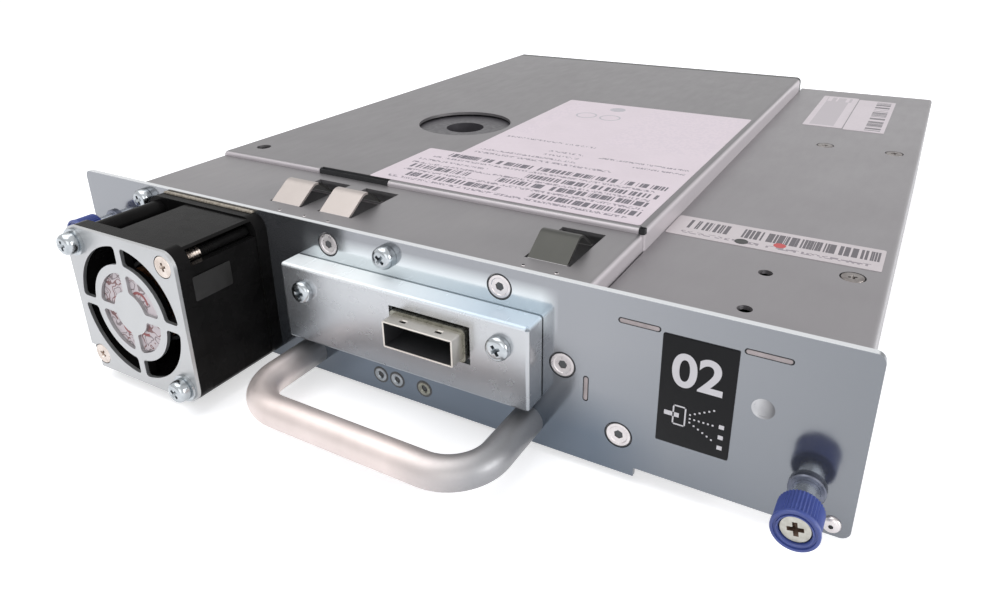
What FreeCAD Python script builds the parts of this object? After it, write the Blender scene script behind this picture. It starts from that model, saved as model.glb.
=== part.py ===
import FreeCAD, Part
import math
import os
import re
import Sketcher

# Half-height data tape drive in the sled that a tape library slides in from its rear.
# X runs to the right along the rear panel, seen from outside; Y runs from the panel into the
# library; Z is up. Sub-parts are drawn from the middle of the panel's outer face, at the level
# of the drive's underside, and their placements move that point to the frame's origin, which is
# the middle of the sled's footprint.

doc = FreeCAD.newDocument("TapeDriveSled")
sheet = doc.addObject("Spreadsheet::Sheet", "Dimensions")

SIZES = [
    # rear panel
    ("panel_width", 214.6, "rear panel, across"),
    ("panel_height", 42.2, "rear panel, tall"),
    ("panel_sheet", 1.2, "rear panel, steel thickness"),
    ("panel_lift", 2.0, "panel's lower edge above the drive's underside"),
    ("panel_corner", 2.0, "rounding of the panel's corners"),
    ("step_width", 42.4, "raised stretch of the lower edge, from the right end"),
    ("step_height", 2.15, "how far that stretch is raised"),
    ("fan_window", 34.0, "air hole behind the fan, diameter"),
    ("stud_head", 6.0, "large flush stud, diameter"),
    ("stud_top_inset", 10.4, "upper studs in from the interface cover's sides"),
    ("stud_top_gap", 4.3, "upper studs above the interface cover"),
    ("stud_side_gap", 4.7, "third stud right of the interface cover"),
    ("stud_side_rise", 10.0, "third stud above the interface cover's lower edge"),
    ("stud_low_gap", 17.9, "fourth stud right of the interface cover"),
    ("stud_low_rise", 9.3, "fourth stud above the panel's lower edge"),
    ("stud_socket", 2.2, "hex socket of the large stud, across flats"),
    ("rivet_head", 3.4, "small flush rivet, diameter"),
    ("rivet_bore", 1.2, "hole through the small rivet"),
    ("rivet_inset", 23.5, "first small rivet from the interface cover's left side"),
    ("rivet_pitch", 5.0, "between the first two small rivets"),
    ("rivet_far_pitch", 8.1, "between the second and third small rivets"),
    ("rivet_rise", 4.6, "small rivets above the panel's lower edge"),
    ("panel_screw_drop", 4.2, "panel screws below the panel's top edge"),
    ("panel_screw_left", 6.0, "left panel screw left of the fan"),
    ("panel_screw_middle", 28.2, "middle panel screw from the interface cover's left side"),
    ("corner_rivet_head", 3.6, "domed rivet in the lower right corner, diameter"),
    ("corner_rivet_inset", 3.5, "domed rivet from the panel's right edge"),
    ("corner_rivet_rise", 4.7, "domed rivet above the panel's lower edge"),
    ("tab_slot_length", 8.8, "lanced slot, long way"),
    ("tab_slot_width", 1.3, "lanced slot, short way"),
    ("tab_slot_drop", 5.7, "upper lanced slots below the panel's top edge"),
    ("tab_slot_inset", 18.5, "right lanced slot from the panel's right edge"),
    ("tab_slot_pitch", 24.5, "between the two upper lanced slots"),
    ("side_slot_length", 6.2, "upright lanced slot, long way"),
    ("side_slot_gap", 10.2, "upright lanced slot right of the interface cover"),
    ("side_slot_rise", 18.3, "upright lanced slot above the panel's lower edge"),
    ("dimple", 4.0, "pressed dimple, diameter"),
    ("dimple_inset", 18.3, "pressed dimple from the panel's right edge"),
    ("dimple_rise", 25.3, "pressed dimple above the panel's lower edge"),
    # interface box
    ("cover_width", 68.4, "interface cover, across"),
    ("cover_height", 20.5, "interface cover, tall"),
    ("cover_depth", 6.24, "interface cover, proud of the panel"),
    ("cover_sheet", 1.0, "interface cover, sheet thickness"),
    ("cover_bend", 0.8, "outer bend radius of the interface cover"),
    ("cover_gap", 0.35, "shadow gap between the interface cover and the panel"),
    ("cover_gap_depth", 0.6, "how far the shadow gap goes in"),
    ("cover_relief", 0.9, "bend relief in the cover's upper right corner, square"),
    ("cover_inset", 7.5, "interface cover's right side in from the drive's right side"),
    ("cover_rise", 12.4, "interface cover above the panel's lower edge"),
    ("cover_screw_pitch", 54.4, "between the cover's two screws"),
    ("cover_screw_rise", 14.3, "cover's screws above its lower edge"),
    ("port_width", 21.4, "cut-out round the port, across"),
    ("port_height", 9.3, "cut-out round the port, tall"),
    ("cage_width", 18.4, "port cage, outside, across"),
    ("cage_height", 6.6, "port cage, outside, tall"),
    ("cage_wall", 0.5, "port cage, sheet thickness"),
    ("cage_reach", 10.8, "port cage, mouth out from the panel's face"),
    ("cage_length", 21.0, "port cage, mouth to back"),
    ("cage_shift", 9.2, "port's middle right of the cover's middle"),
    ("cage_rise", 12.3, "port's middle above the cover's lower edge"),
    ("latch_hole", 1.8, "latch window in the cage's top, square"),
    ("latch_pitch", 9.4, "between the two latch windows"),
    ("tongue_sheet", 1.2, "contact tongue, thickness"),
    ("tongue_recess", 4.6, "contact tongue's edge behind the cage's mouth"),
    ("board_sheet", 1.6, "circuit board thickness"),
    ("port_board_width", 46.0, "interface board, across"),
    ("port_board_length", 29.0, "interface board, front to back"),
    ("carrier_sheet", 1.2, "port carrier, sheet thickness"),
    ("carrier_gap", 1.3, "port carrier's cut-out clear of the cage"),
    # handle
    ("handle_rod", 7.5, "handle rod, diameter"),
    ("handle_span", 62.7, "between the handle's legs, axis to axis"),
    ("handle_inset", 11.0, "right leg's axis in from the drive's right side"),
    ("handle_rise", 5.75, "handle's axis above the panel's lower edge"),
    ("handle_reach", 25.1, "handle's grip bar out from the panel, axis"),
    ("handle_bend", 11.1, "bend radius of the handle, at the axis"),
    # fan
    ("fan_size", 40.0, "fan, square"),
    ("fan_depth", 27.0, "fan, front to back"),
    ("fan_gap", 9.9, "fan left of the interface cover"),
    ("fan_rise", 1.3, "fan above the panel's lower edge"),
    ("fan_corner", 4.0, "rounding of the fan's corners"),
    ("fan_flange", 3.6, "fan's end flanges, thickness"),
    ("fan_waist", 0.4, "fan's sides set in between the flanges"),
    ("fan_duct", 37.0, "fan's air duct, diameter"),
    ("fan_barrel", 38.8, "fan's barrel between the flanges, outside diameter"),
    ("fan_column", 5.6, "column round the fan's upper left corner hole, diameter"),
    ("fan_recess_top", 4.6, "top recess, from its near end to the fan's middle"),
    ("fan_recess_drop", 6.0, "top recess, deep"),
    ("fan_notch_width", 6.8, "recess in the fan's right side, deep"),
    ("fan_notch_height", 4.0, "recess in the fan's right side, tall"),
    ("fan_notch_roof", 0.9, "wall over that recess"),
    ("fan_hole_pitch", 32.0, "fan's corner holes, square pitch"),
    ("fan_hole", 3.6, "fan's corner holes, diameter"),
    ("fan_motor_plate", 23.0, "fan's motor plate, diameter"),
    ("fan_spider", 2.0, "motor plate and its arms, thickness"),
    ("fan_arm", 2.1, "width of the motor plate's arms"),
    ("fan_hub", 22.0, "rotor hub, diameter"),
    ("fan_hub_wall", 0.9, "rotor hub, wall"),
    ("fan_hub_length", 16.0, "rotor hub, length"),
    ("fan_hub_end", 4.0, "rotor hub's closed end from the panel"),
    ("blade_gap", 0.5, "blade tips clear of the duct"),
    ("blade_count", 7, "rotor blades"),
    ("blade_root_chord", 13.0, "blade chord at the hub"),
    ("blade_tip_chord", 17.0, "blade chord at the tip"),
    ("blade_root_pitch", 58.0, "blade angle at the hub, degrees"),
    ("blade_tip_pitch", 38.0, "blade angle at the tip, degrees"),
    ("blade_camber", 1.5, "blade camber"),
    ("blade_sheet", 0.9, "blade thickness"),
    ("fan_shaft", 2.0, "rotor shaft, diameter"),
    ("bearing_gap", 0.03, "running clearance on a radius"),
    ("bearing_outside", 5.2, "rotor bearing, outside diameter"),
    ("stator_outside", 19.0, "fan stator, diameter"),
    ("stator_tube", 10.0, "stator tube, outside diameter"),
    ("guard_sheet", 0.9, "fan guard, thickness"),
    ("guard_corner", 4.0, "fan guard, corner radius"),
    ("guard_slot_outside", 35.2, "outer air slots, outer diameter"),
    ("guard_slot_inside", 25.8, "outer air slots, inner diameter"),
    ("guard_eye_outside", 21.4, "inner air slots, outer diameter"),
    ("guard_eye_inside", 11.4, "inner air slots, inner diameter"),
    ("guard_spoke", 2.1, "guard's spokes, width"),
    ("guard_slot_corner", 0.9, "rounding of the air slots' corners"),
    ("guard_notch_width", 2.5, "corner notch, across"),
    ("guard_notch_height", 6.1, "corner notch, tall"),
    # fasteners
    ("screw_shank", 3.0, "common screw, shank diameter"),
    ("screw_gap", 0.15, "screw hole clearance on a radius"),
    ("pan_head", 5.6, "pan head, diameter"),
    ("pan_head_height", 2.8, "pan head, height"),
    ("pan_head_crown", 1.2, "rounding of the pan head"),
    ("flat_head", 5.5, "flush head, diameter"),
    ("sink_head", 5.6, "countersunk head, diameter"),
    ("washer_outside", 7.0, "washer, diameter"),
    ("washer_sheet", 0.8, "washer, thickness"),
    ("cover_head_height", 1.9, "interface cover's screw heads, height"),
    # captive thumbscrews
    ("thumb_left_inset", 9.8, "left thumbscrew's axis from the panel's left edge"),
    ("thumb_left_rise", 28.0, "left thumbscrew's axis above the panel's lower edge"),
    ("thumb_right_inset", 8.6, "right thumbscrew's axis from the panel's right edge"),
    ("thumb_right_rise", 11.0, "right thumbscrew's axis above the panel's lower edge"),
    ("knob_outside", 8.7, "knob, diameter over the ribs"),
    ("knob_length", 6.5, "knob, length"),
    ("knob_rib", 0.35, "knob's grip ribs, depth"),
    ("knob_ribs", 24, "knob's grip ribs"),
    ("knob_lip", 1.3, "plain collar at the knob's outer end"),
    ("knob_wall", 1.5, "knob round its screw head"),
    ("thumb_shoulder", 5.0, "thumbscrew's shoulder, diameter"),
    ("thumb_thread", 3.5, "thumbscrew's thread, diameter"),
    ("thumb_tip_length", 5.5, "thumbscrew's threaded tip, length"),
    ("thumb_travel", 4.8, "thumbscrew's travel"),
    ("collar_outside", 7.0, "bush collar on the panel, diameter"),
    ("collar_height", 1.0, "bush collar, height"),
    ("bush_outside", 6.2, "bush through the panel, diameter"),
    ("bush_tail", 0.8, "bush behind the panel, length"),
    ("clip_sheet", 0.6, "retaining ring, thickness"),
    ("clip_gap", 0.2, "retaining ring clear of the bush"),
    # drive
    ("drive_width", 146.0, "drive, across"),
    ("drive_height", 41.3, "drive, tall"),
    ("drive_length", 206.6, "drive, front to back"),
    ("drive_inset", 12.1, "drive from the panel's left edge"),
    ("lid_sheet", 1.0, "drive's sheet covers, thickness"),
    ("lid_bend", 2.0, "outer bend radius of the drive's top cover"),
    ("lid_rear_bend", 1.1, "bend radius of the top cover's rear edge"),
    ("lid_slot", 26.0, "slot in the top cover's rear bend, across"),
    ("lid_slot_inset", 41.9, "that slot from the cover's left side"),
    ("lid_slot_drop", 2.0, "that slot, tall and deep"),
    ("lid_relief", 1.7, "relief cut in the top cover's rear right corner, square"),
    ("lid_skirt", 8.0, "top cover's skirt, tall"),
    ("lid_port", 33.6, "round opening in the top cover, diameter"),
    ("lid_hole", 4.6, "plain hole in the top cover, diameter"),
    ("lid_hole_inset", 9.3, "plain hole from the cover's left and rear edges"),
    ("base_wall", 3.0, "drive base, wall"),
    ("side_hole_front", 48.0, "first side hole from the drive's front"),
    ("side_hole_pitch", 79.0, "between side holes, along the drive"),
    ("side_hole_rise", 10.0, "lower side holes above the drive's underside"),
    ("side_hole_row", 11.8, "between the two rows of side holes"),
    ("sled_hole_shift", 5.0, "the sled's own side holes behind the bay's"),
    ("base_floor", 2.5, "drive base, floor"),
    ("base_floor_rise", 7.0, "underside of the base's floor above the drive's underside"),
    ("boss_outside", 16.0, "spindle boss in the base, diameter"),
    ("boss_height", 0.5, "spindle boss above the floor"),
    ("reel_inset", 52.3, "take-up reel's axis from the drive's left side"),
    ("reel_depth", 66.7, "take-up reel's axis from the drive's rear"),
    ("reel_outside", 84.0, "take-up reel's flanges, diameter"),
    ("reel_core", 44.0, "take-up reel's core, diameter"),
    ("reel_flange", 1.2, "take-up reel's flanges, thickness"),
    ("reel_gap", 13.2, "between the reel's flanges"),
    ("reel_cap", 38.0, "reel's cap under the opening, diameter"),
    ("reel_eye", 13.7, "recess in the reel's cap, diameter"),
    ("reel_rise", 20.0, "lower face of the reel above the drive's underside"),
    ("reel_cup_depth", 6.5, "motor cup below the reel"),
    ("reel_lid_gap", 0.7, "reel's cap below the top cover"),
    ("spindle", 8.0, "reel spindle, diameter"),
    ("spindle_foot", 12.0, "reel spindle's foot, diameter"),
    ("spindle_top", 32.0, "reel spindle's top above the drive's underside"),
    ("motor_gap", 0.6, "motor clearance"),
    ("clutch_depth", 158.0, "cartridge clutch's axis from the drive's rear"),
    ("clutch_outside", 34.0, "cartridge clutch, diameter"),
    ("clutch_teeth", 18, "teeth on the clutch's face"),
    ("tray_width", 106.0, "cartridge tray, inside width"),
    ("tray_height", 18.0, "cartridge tray, tall"),
    ("tray_length", 80.0, "cartridge tray, front to back"),
    ("tray_sheet", 1.0, "cartridge tray, sheet thickness"),
    ("tray_rise", 15.3, "cartridge tray's underside above the drive's underside"),
    ("tray_travel", 10.0, "cartridge tray's travel"),
    ("tray_lip", 4.0, "tray's sliding lips, width"),
    ("slide_gap", 0.3, "clearance under and beside a sliding piece"),
    ("bezel_sheet", 3.0, "front bezel, thickness"),
    ("slot_width", 107.0, "cartridge slot, across"),
    ("slot_height", 23.0, "cartridge slot, tall"),
    ("roller_outside", 12.0, "guide roller's flanges, diameter"),
    ("roller_core", 9.6, "guide roller's tape face, diameter"),
    ("roller_height", 15.0, "guide roller, tall"),
    ("roller_flange", 1.0, "guide roller's flanges, thickness"),
    ("roller_pin", 3.0, "guide pin, diameter"),
    ("roller_near_inset", 12.0, "rollers beside the head from the drive's right side"),
    ("roller_near_reach", 20.0, "rollers beside the head from the reel's axis"),
    ("roller_front_inset", 17.0, "front roller from the drive's right side"),
    ("roller_front_reach", 36.0, "front roller from the reel's axis"),
    ("roller_rear_inset", 22.0, "rear roller from the drive's right side"),
    ("roller_rear_reach", 42.0, "rear roller from the reel's axis"),
    ("head_width", 12.0, "tape head block, across"),
    ("head_length", 20.0, "tape head block, along the tape"),
    ("head_height", 14.0, "tape head block, tall"),
    ("head_travel", 2.5, "tape head's travel each way"),
    ("head_rod", 3.0, "tape head's guide rods, diameter"),
    # rear bracket
    ("bracket_length", 38.6, "rear bracket, panel to drive"),
    ("bracket_drop", 1.5, "rear bracket's top below the drive's top"),
    ("bracket_foot", 0.8, "rear bracket's lower edge above the panel's lower edge"),
    ("bracket_sheet", 1.0, "rear bracket, sheet thickness"),
    ("bracket_bend", 1.5, "rear bracket, outer bend radius"),
    ("finger_width", 10.0, "spring finger, width"),
    ("finger_near", 47.1, "left finger's edge from the bracket's left side"),
    ("finger_pitch", 17.3, "between the left finger and the middle one"),
    ("finger_far", 8.6, "right finger from the bracket's right side"),
    ("finger_sheet", 0.6, "spring finger, thickness"),
    ("finger_ramp", 34.0, "spring finger's ramp, degrees above the sheet"),
    ("finger_fall", 40.0, "spring finger's slope behind the crest, degrees"),
    ("finger_bend", 3.0, "spring finger's outer bend radius at the crest"),
    ("finger_crest", 4.5, "spring finger's crest above the bracket's top"),
    ("finger_tip", 0.4, "spring finger's tip below the bracket's top"),
    ("finger_bed", 0.4, "spring finger's ramp run into the sheet"),
    ("finger_root", 13.7, "spring finger's root behind the panel"),
    ("finger_window", 20.5, "opening under a spring finger, length"),
    ("finger_slit", 0.8, "relief slit beside a spring finger, width"),
    # side compartment
    ("wing_inset", 2.4, "side compartment in from the panel's right edge"),
    ("wing_length", 250.8, "side compartment, front to back"),
    ("wing_height", 31.0, "side compartment, tall"),
    ("wing_foot", 0.2, "compartment's underside above the panel's raised edge"),
    ("wing_sheet", 1.0, "side compartment, sheet thickness"),
    ("wing_bend", 1.2, "side compartment, outer bend radius"),
    ("wing_hole", 3.3, "plain holes in the compartment's cover, diameter"),
    ("wing_hole_share", 0.53, "plain holes, share of the compartment's width"),
    ("wing_hole_near", 22.1, "near plain hole behind the panel's face"),
    ("wing_hole_pitch", 19.7, "between the plain holes"),
    ("wing_screw_inset", 7.6, "right cover screws from the compartment's right side"),
    ("wing_screw_share", 0.45, "middle cover screw, share of the compartment's width"),
    ("wing_screw_near", 48.8, "near cover screw behind the panel's face"),
    ("wing_screw_far", 157.6, "far cover screws behind the panel's face"),
    ("wing_screw_length", 6.0, "cover screws, length"),
    ("post_clearance", 8.0, "room round the right thumbscrew, half width"),
    ("post_depth", 22.0, "room round the right thumbscrew, depth"),
    ("wing_post", 5.0, "cover posts, diameter"),
    ("wing_board_rise", 4.0, "compartment's board above its floor"),
    ("wing_board_margin", 4.0, "compartment's board clear of the walls"),
    ("dock_margin", 9.05, "docking connector clear of the compartment's sides"),
    ("dock_height", 9.0, "docking connector, tall"),
    ("dock_length", 14.0, "docking connector, front to back"),
    ("dock_mouth_wall", 2.5, "docking connector's wall beside its mouth"),
    ("dock_mouth_height", 5.2, "docking connector's mouth, tall"),
    ("dock_mouth_depth", 9.0, "docking connector's mouth, deep"),
    ("part_gap", 0.1, "clearance where one piece passes another"),
]

for row, (name, number, meaning) in enumerate(SIZES, start=1):
    sheet.set(f"A{row}", meaning)
    sheet.set(f"B{row}", str(number))
    sheet.setAlias(f"B{row}", name)
doc.recompute()

NAMES = {name for name, number, meaning in SIZES}

# Places that follow from the sizes, written in the same words.
DERIVED = {
    "panel_left": "-panel_width / 2",
    "panel_right": "panel_width / 2",
    "panel_bottom": "panel_lift",
    "panel_top": "panel_lift + panel_height",
    "wing_end": "panel_sheet + wing_length",
    "screw_reach": "fan_depth + guard_sheet + washer_sheet + pan_head_height",
    "frame_shift": "(screw_reach - wing_end) / 2",
    # interface cover and port
    "cover_left": "cover_right - cover_width",
    "cover_right": "drive_right - cover_inset",
    "cover_middle": "cover_left + cover_width / 2",
    "cover_bottom": "panel_bottom + cover_rise",
    "cover_top": "cover_bottom + cover_height",
    "cover_screw_z": "cover_bottom + cover_screw_rise",
    "rivet_x": "cover_left + rivet_inset",
    "rivet_z": "panel_bottom + rivet_rise",
    "stud_top_z": "cover_top + stud_top_gap",
    "panel_screw_z": "panel_top - panel_screw_drop",
    "port_x": "cover_middle + cage_shift",
    "port_z": "cover_bottom + cage_rise",
    "cage_bottom": "port_z - cage_height / 2",
    "port_board_bottom": "cage_bottom - board_sheet",
    "carrier_left": "cover_left + cover_sheet + part_gap",
    "carrier_right": "cover_right - cover_sheet - part_gap",
    "carrier_front": "cover_sheet - cover_depth",
    "port_board_left": "port_x - port_board_width / 2",
    "port_board_front": "carrier_front + carrier_sheet + part_gap",
    "panel_port_bottom": "port_board_bottom - carrier_sheet - part_gap",
    # handle
    "leg_left": "leg_right - handle_span",
    "leg_right": "drive_right - handle_inset",
    "handle_z": "panel_bottom + handle_rise",
    # fan
    "fan_x": "cover_left - fan_gap - fan_size / 2",
    "fan_z": "panel_bottom + fan_rise + fan_size / 2",
    "fan_plate_y": "fan_spider - fan_depth",
    "blade_y": "-(fan_hub_end + fan_hub_length / 2)",
    "stator_end": "-(fan_hub_end + 3 * fan_hub_wall)",
    # thumbscrews
    "thumb_left_x": "panel_left + thumb_left_inset",
    "thumb_left_z": "panel_bottom + thumb_left_rise",
    "thumb_right_x": "panel_right - thumb_right_inset",
    "thumb_right_z": "panel_bottom + thumb_right_rise",
    "clip_y": "panel_sheet + bush_tail + clip_gap",
    "shoulder_end": "clip_y + clip_sheet + clip_gap",
    "knob_back": "-(collar_height + thumb_travel + clip_gap)",
    "knob_front": "knob_back - knob_length",
    # drive
    "drive_left": "panel_left + drive_inset",
    "drive_right": "drive_left + drive_width",
    "drive_middle": "drive_left + drive_width / 2",
    "drive_rear": "panel_sheet + bracket_length",
    "drive_front": "drive_rear + drive_length",
    "lid_under": "drive_height - lid_sheet",
    "base_rear": "drive_rear + lid_sheet",
    "base_front": "drive_front - bezel_sheet",
    "floor_top": "base_floor_rise + base_floor",
    "boss_top": "floor_top + boss_height",
    "reel_x": "drive_left + reel_inset",
    "reel_y": "drive_rear + reel_depth",
    "reel_upper": "reel_rise + 2 * reel_flange + reel_gap",
    "reel_top": "lid_under - reel_lid_gap",
    "clutch_y": "drive_rear + clutch_depth",
    "tray_half": "tray_width / 2 + tray_sheet",
    "tray_front": "base_front - base_wall - tray_travel - slide_gap",
    "tray_back": "tray_front - tray_length",
    "slot_bottom": "tray_rise + tray_sheet",
    "roller_foot": "reel_rise + reel_flange - roller_flange",
    "head_x": "drive_right - base_wall - head_width / 2 - 3 * slide_gap",
    "head_y": "reel_y",
    # rear bracket
    "bracket_top": "drive_height - bracket_drop",
    "bracket_bottom": "panel_bottom + bracket_foot",
    "bracket_left": "drive_left",
    "bracket_right": "drive_right - bracket_sheet / 2",
    "finger_start": "panel_sheet + finger_root",
    "finger_axis_y": "(finger_axis_z * cos(finger_ramp * 1 deg) + finger_bend) / sin(finger_ramp * 1 deg)",
    "finger_axis_z": "finger_crest - finger_bend",
    # side compartment
    "wing_left": "drive_right",
    "wing_right": "panel_right - wing_inset",
    "wing_width": "panel_right - wing_inset - wing_left",
    "wing_bottom": "panel_bottom + step_height + wing_foot",
    "wing_top": "wing_bottom + wing_height",
    "wing_under": "wing_top - wing_sheet",
    "wing_floor": "wing_bottom + wing_sheet",
    "wing_board_z": "wing_floor + wing_board_rise",
    "dock_x": "wing_left + wing_width / 2",
    "dock_width": "wing_width - 2 * dock_margin",
    "dock_mouth_width": "dock_width - 2 * dock_mouth_wall",
}

WORD = re.compile(r"[a-z][a-z_]*")
HALF_TURN = 180.0


def formula(text):
    """Spell a size in terms of the sheet's cells."""
    def spell(match):
        word = match.group(0)
        if word in DERIVED:
            return f"({formula(DERIVED[word])})"
        return f"Dimensions.{word}" if word in NAMES else word
    return WORD.sub(spell, str(text))


def size(text):
    """The present value of a size."""
    return float(sheet.evalExpression(formula(text)))


def bind(thing, prop, text):
    thing.setExpression(prop, formula(text))


def place(thing, x="0", y="0", z="0", turn=None):
    """Put an object at x, y, z of the panel's frame, turned about an axis by an angle."""
    rotation = FreeCAD.Rotation(*turn) if turn else FreeCAD.Rotation()
    thing.Placement = FreeCAD.Placement(FreeCAD.Vector(), rotation)
    bind(thing, "Placement.Base.x", x)
    bind(thing, "Placement.Base.y", f"({y}) + frame_shift")
    bind(thing, "Placement.Base.z", z)


# ---------------------------------------------------------------- sketches

def constrain(sketch, constraint, text, label):
    """Add a dimension to a sketch and bind it to the sheet."""
    index = sketch.addConstraint(constraint)
    name = f"{label}_{index}"
    sketch.renameConstraint(index, name)
    bind(sketch, f"Constraints.{name}", text)


def pin(sketch, geometry, point, x, y):
    """Hold one point of a curve at x, y."""
    constrain(sketch, Sketcher.Constraint("DistanceX", -1, 1, geometry, point, size(x)), x, "x")
    constrain(sketch, Sketcher.Constraint("DistanceY", -1, 1, geometry, point, size(y)), y, "y")


def join(sketch, first, first_point, second, second_point):
    sketch.addConstraint(Sketcher.Constraint("Coincident", first, first_point, second, second_point))


def spot(x, y):
    return FreeCAD.Vector(size(x), size(y), 0)


def outline(sketch, points):
    """Closed straight-sided outline through named points."""
    spots = [spot(x, y) for x, y in points]
    lines = [sketch.addGeometry(Part.LineSegment(spots[i], spots[(i + 1) % len(spots)]))
             for i in range(len(spots))]
    for i, line in enumerate(lines):
        join(sketch, line, 2, lines[(i + 1) % len(lines)], 1)
        pin(sketch, line, 1, *points[i])
    return sketch


def rectangle(sketch, x0, y0, x1, y1):
    return outline(sketch, [(x0, y0), (x1, y0), (x1, y1), (x0, y1)])


def circle(sketch, x, y, diameter):
    radius = size(diameter) / 2
    disc = sketch.addGeometry(Part.Circle(spot(x, y), FreeCAD.Vector(0, 0, 1), radius))
    pin(sketch, disc, 3, x, y)
    constrain(sketch, Sketcher.Constraint("Diameter", disc, 2 * radius), diameter, "d")
    return sketch


def arc_about(sketch, x, y, radius, start, end):
    """Arc about a held centre; start and end are degrees."""
    full = Part.Circle(spot(x, y), FreeCAD.Vector(0, 0, 1), size(radius))
    arc = sketch.addGeometry(Part.ArcOfCircle(full, math.radians(start), math.radians(end)))
    pin(sketch, arc, 3, x, y)
    constrain(sketch, Sketcher.Constraint("Radius", arc, size(radius)), radius, "r")
    return arc


def slot(sketch, x, y, length, width, upright=False):
    """Round-ended slot about x, y."""
    reach = f"(({length}) - ({width})) / 2"
    align = "Horizontal" if upright else "Vertical"
    shift = 90 if upright else 0
    ends = []
    for sign, start in (("+", -90), ("-", 90)):
        cx, cy = (x, f"({y}) {sign} {reach}") if upright else (f"({x}) {sign} {reach}", y)
        arc = arc_about(sketch, cx, cy, f"({width}) / 2", start + shift, start + shift + 180)
        for point in (1, 2):
            sketch.addConstraint(Sketcher.Constraint(align, arc, point, arc, 3))
        ends.append(arc)
    for first, second in ((0, 1), (1, 0)):
        geometry = [sketch.Geometry[ends[first]], sketch.Geometry[ends[second]]]
        line = sketch.addGeometry(Part.LineSegment(geometry[0].EndPoint, geometry[1].StartPoint))
        join(sketch, line, 1, ends[first], 2)
        join(sketch, line, 2, ends[second], 1)
    return sketch


# ---------------------------------------------------------------- bodies

NORMALS = {"XY": "up", "XZ": "out", "YZ": "right"}
parts = []


def checked_edges(shape, along, at):
    """Names of the straight edges that run along one axis at the given places of the others."""
    axis = "xyz".index(along)
    found = []
    for number, edge in enumerate(shape.Edges, start=1):
        if edge.Curve.TypeId != "Part::GeomLine" or abs(edge.tangentAt(edge.FirstParameter)[axis]) < 0.999:
            continue
        middle = edge.CenterOfMass
        for place_at in at:
            if all(abs(middle["xyz".index(key)] - size(value)) < 1e-4
                   for key, value in place_at.items()):
                found.append(f"Edge{number}")
                break
    return found


class Piece:
    """A sub-part as a PartDesign body; sketches lie in planes of the body's own origin."""

    def __init__(self, label, x="0", y="0", z="0", turn=None, keep=True):
        self.body = doc.addObject("PartDesign::Body", label)
        self.body.Label = label
        self.label = label
        place(self.body, x, y, z, turn)
        if keep:
            parts.append(self.body)

    def sketch(self, plane, level="0"):
        """Sketch in the plane XY at height level, XZ at depth level or YZ at x level."""
        sketch = self.body.newObject("Sketcher::SketchObject", f"{self.label}_sketch")
        planes = {feature.Role: feature for feature in self.body.Origin.OriginFeatures}
        sketch.AttachmentSupport = (planes[f"{plane}_Plane"], "")
        sketch.MapMode = "FlatFace"
        offset = f"-({level})" if plane == "XZ" else level
        bind(sketch, "AttachmentOffset.Base.z", offset)
        return sketch

    def feature(self, kind, sketch):
        feature = self.body.newObject(f"PartDesign::{kind}", f"{self.label}_{kind.lower()}")
        feature.Profile = sketch
        sketch.Visibility = False
        return feature

    def pad(self, plane, level, way, length, draw):
        """Add material from a sketch in the way up, down, out, in, right or left."""
        sketch = self.sketch(plane, level)
        draw(sketch)
        feature = self.feature("Pad", sketch)
        bind(feature, "Length", length)
        feature.Reversed = way != NORMALS[plane]
        return feature

    def cut(self, plane, level, way, length, draw):
        """Take material away from a sketch's plane in the given way."""
        sketch = self.sketch(plane, level)
        draw(sketch)
        feature = self.feature("Pocket", sketch)
        bind(feature, "Length", length)
        feature.Reversed = way == NORMALS[plane]
        return feature

    def turned(self, plane, points, kind="Revolution"):
        """Solid of revolution about the sketch's upright axis; points are (radius, height)."""
        sketch = self.sketch(plane)
        outline(sketch, points)
        feature = self.feature(kind, sketch)
        feature.ReferenceAxis = (sketch, ["V_Axis"])
        feature.Angle = 2 * HALF_TURN
        return feature

    def round(self, radius, along, at, kind="Fillet"):
        """Round or chamfer the edges of the last feature that run along an axis at places."""
        doc.recompute()
        base = self.body.Tip
        names = checked_edges(base.Shape, along, at)
        feature = self.body.newObject(f"PartDesign::{kind}", f"{self.label}_{kind.lower()}")
        feature.Base = (base, names)
        bind(feature, "Radius" if kind == "Fillet" else "Size", radius)
        return feature

    def repeat(self, features, axis, count, angle="360"):
        """Repeat features round one of the body's own axes."""
        pattern = self.body.newObject("PartDesign::PolarPattern", f"{self.label}_pattern")
        axes = {feature.Role: feature for feature in self.body.Origin.OriginFeatures}
        pattern.Originals = features
        pattern.Axis = (axes[f"{axis}_Axis"], [""])
        bind(pattern, "Angle", angle)
        bind(pattern, "Occurrences", count)
        self.body.Tip = pattern
        return pattern


def group(label, pattern, places, turn=None):
    """One node of identical pieces: links to a pattern piece at several places."""
    links = []
    for number, (x, y, z) in enumerate(places, start=1):
        link = doc.addObject("App::Link", f"{label}_{number}")
        link.LinkedObject = pattern
        place(link, x, y, z, turn)
        links.append(link)
    compound = doc.addObject("Part::Compound", label)
    compound.Label = label
    compound.Links = links
    parts.append(compound)
    return compound


FACE_UP = (FreeCAD.Vector(1, 0, 0), -90)
FACE_RIGHT = (FreeCAD.Vector(0, 0, 1), 90)


def pan_screw(label, length, height="pan_head_height"):
    """Pan-head screw along +Y, its head's seat at y = 0."""
    screw = Piece(label, keep=False)
    screw.turned("XY", [("0", f"-({height})"), ("pan_head / 2 - pan_head_crown", f"-({height})"),
                        ("pan_head / 2", f"pan_head_crown - ({height})"), ("pan_head / 2", "0"),
                        ("screw_shank / 2", "0"), ("screw_shank / 2", length), ("0", length)])
    return screw.body


def sink_screw(label, length):
    """Countersunk screw along +Y, its face at y = 0."""
    screw = Piece(label, keep=False)
    screw.turned("XY", [("0", "0"), ("sink_head / 2", "0"), ("screw_shank / 2", "wing_sheet"),
                        ("screw_shank / 2", length), ("0", length)])
    return screw.body


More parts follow.
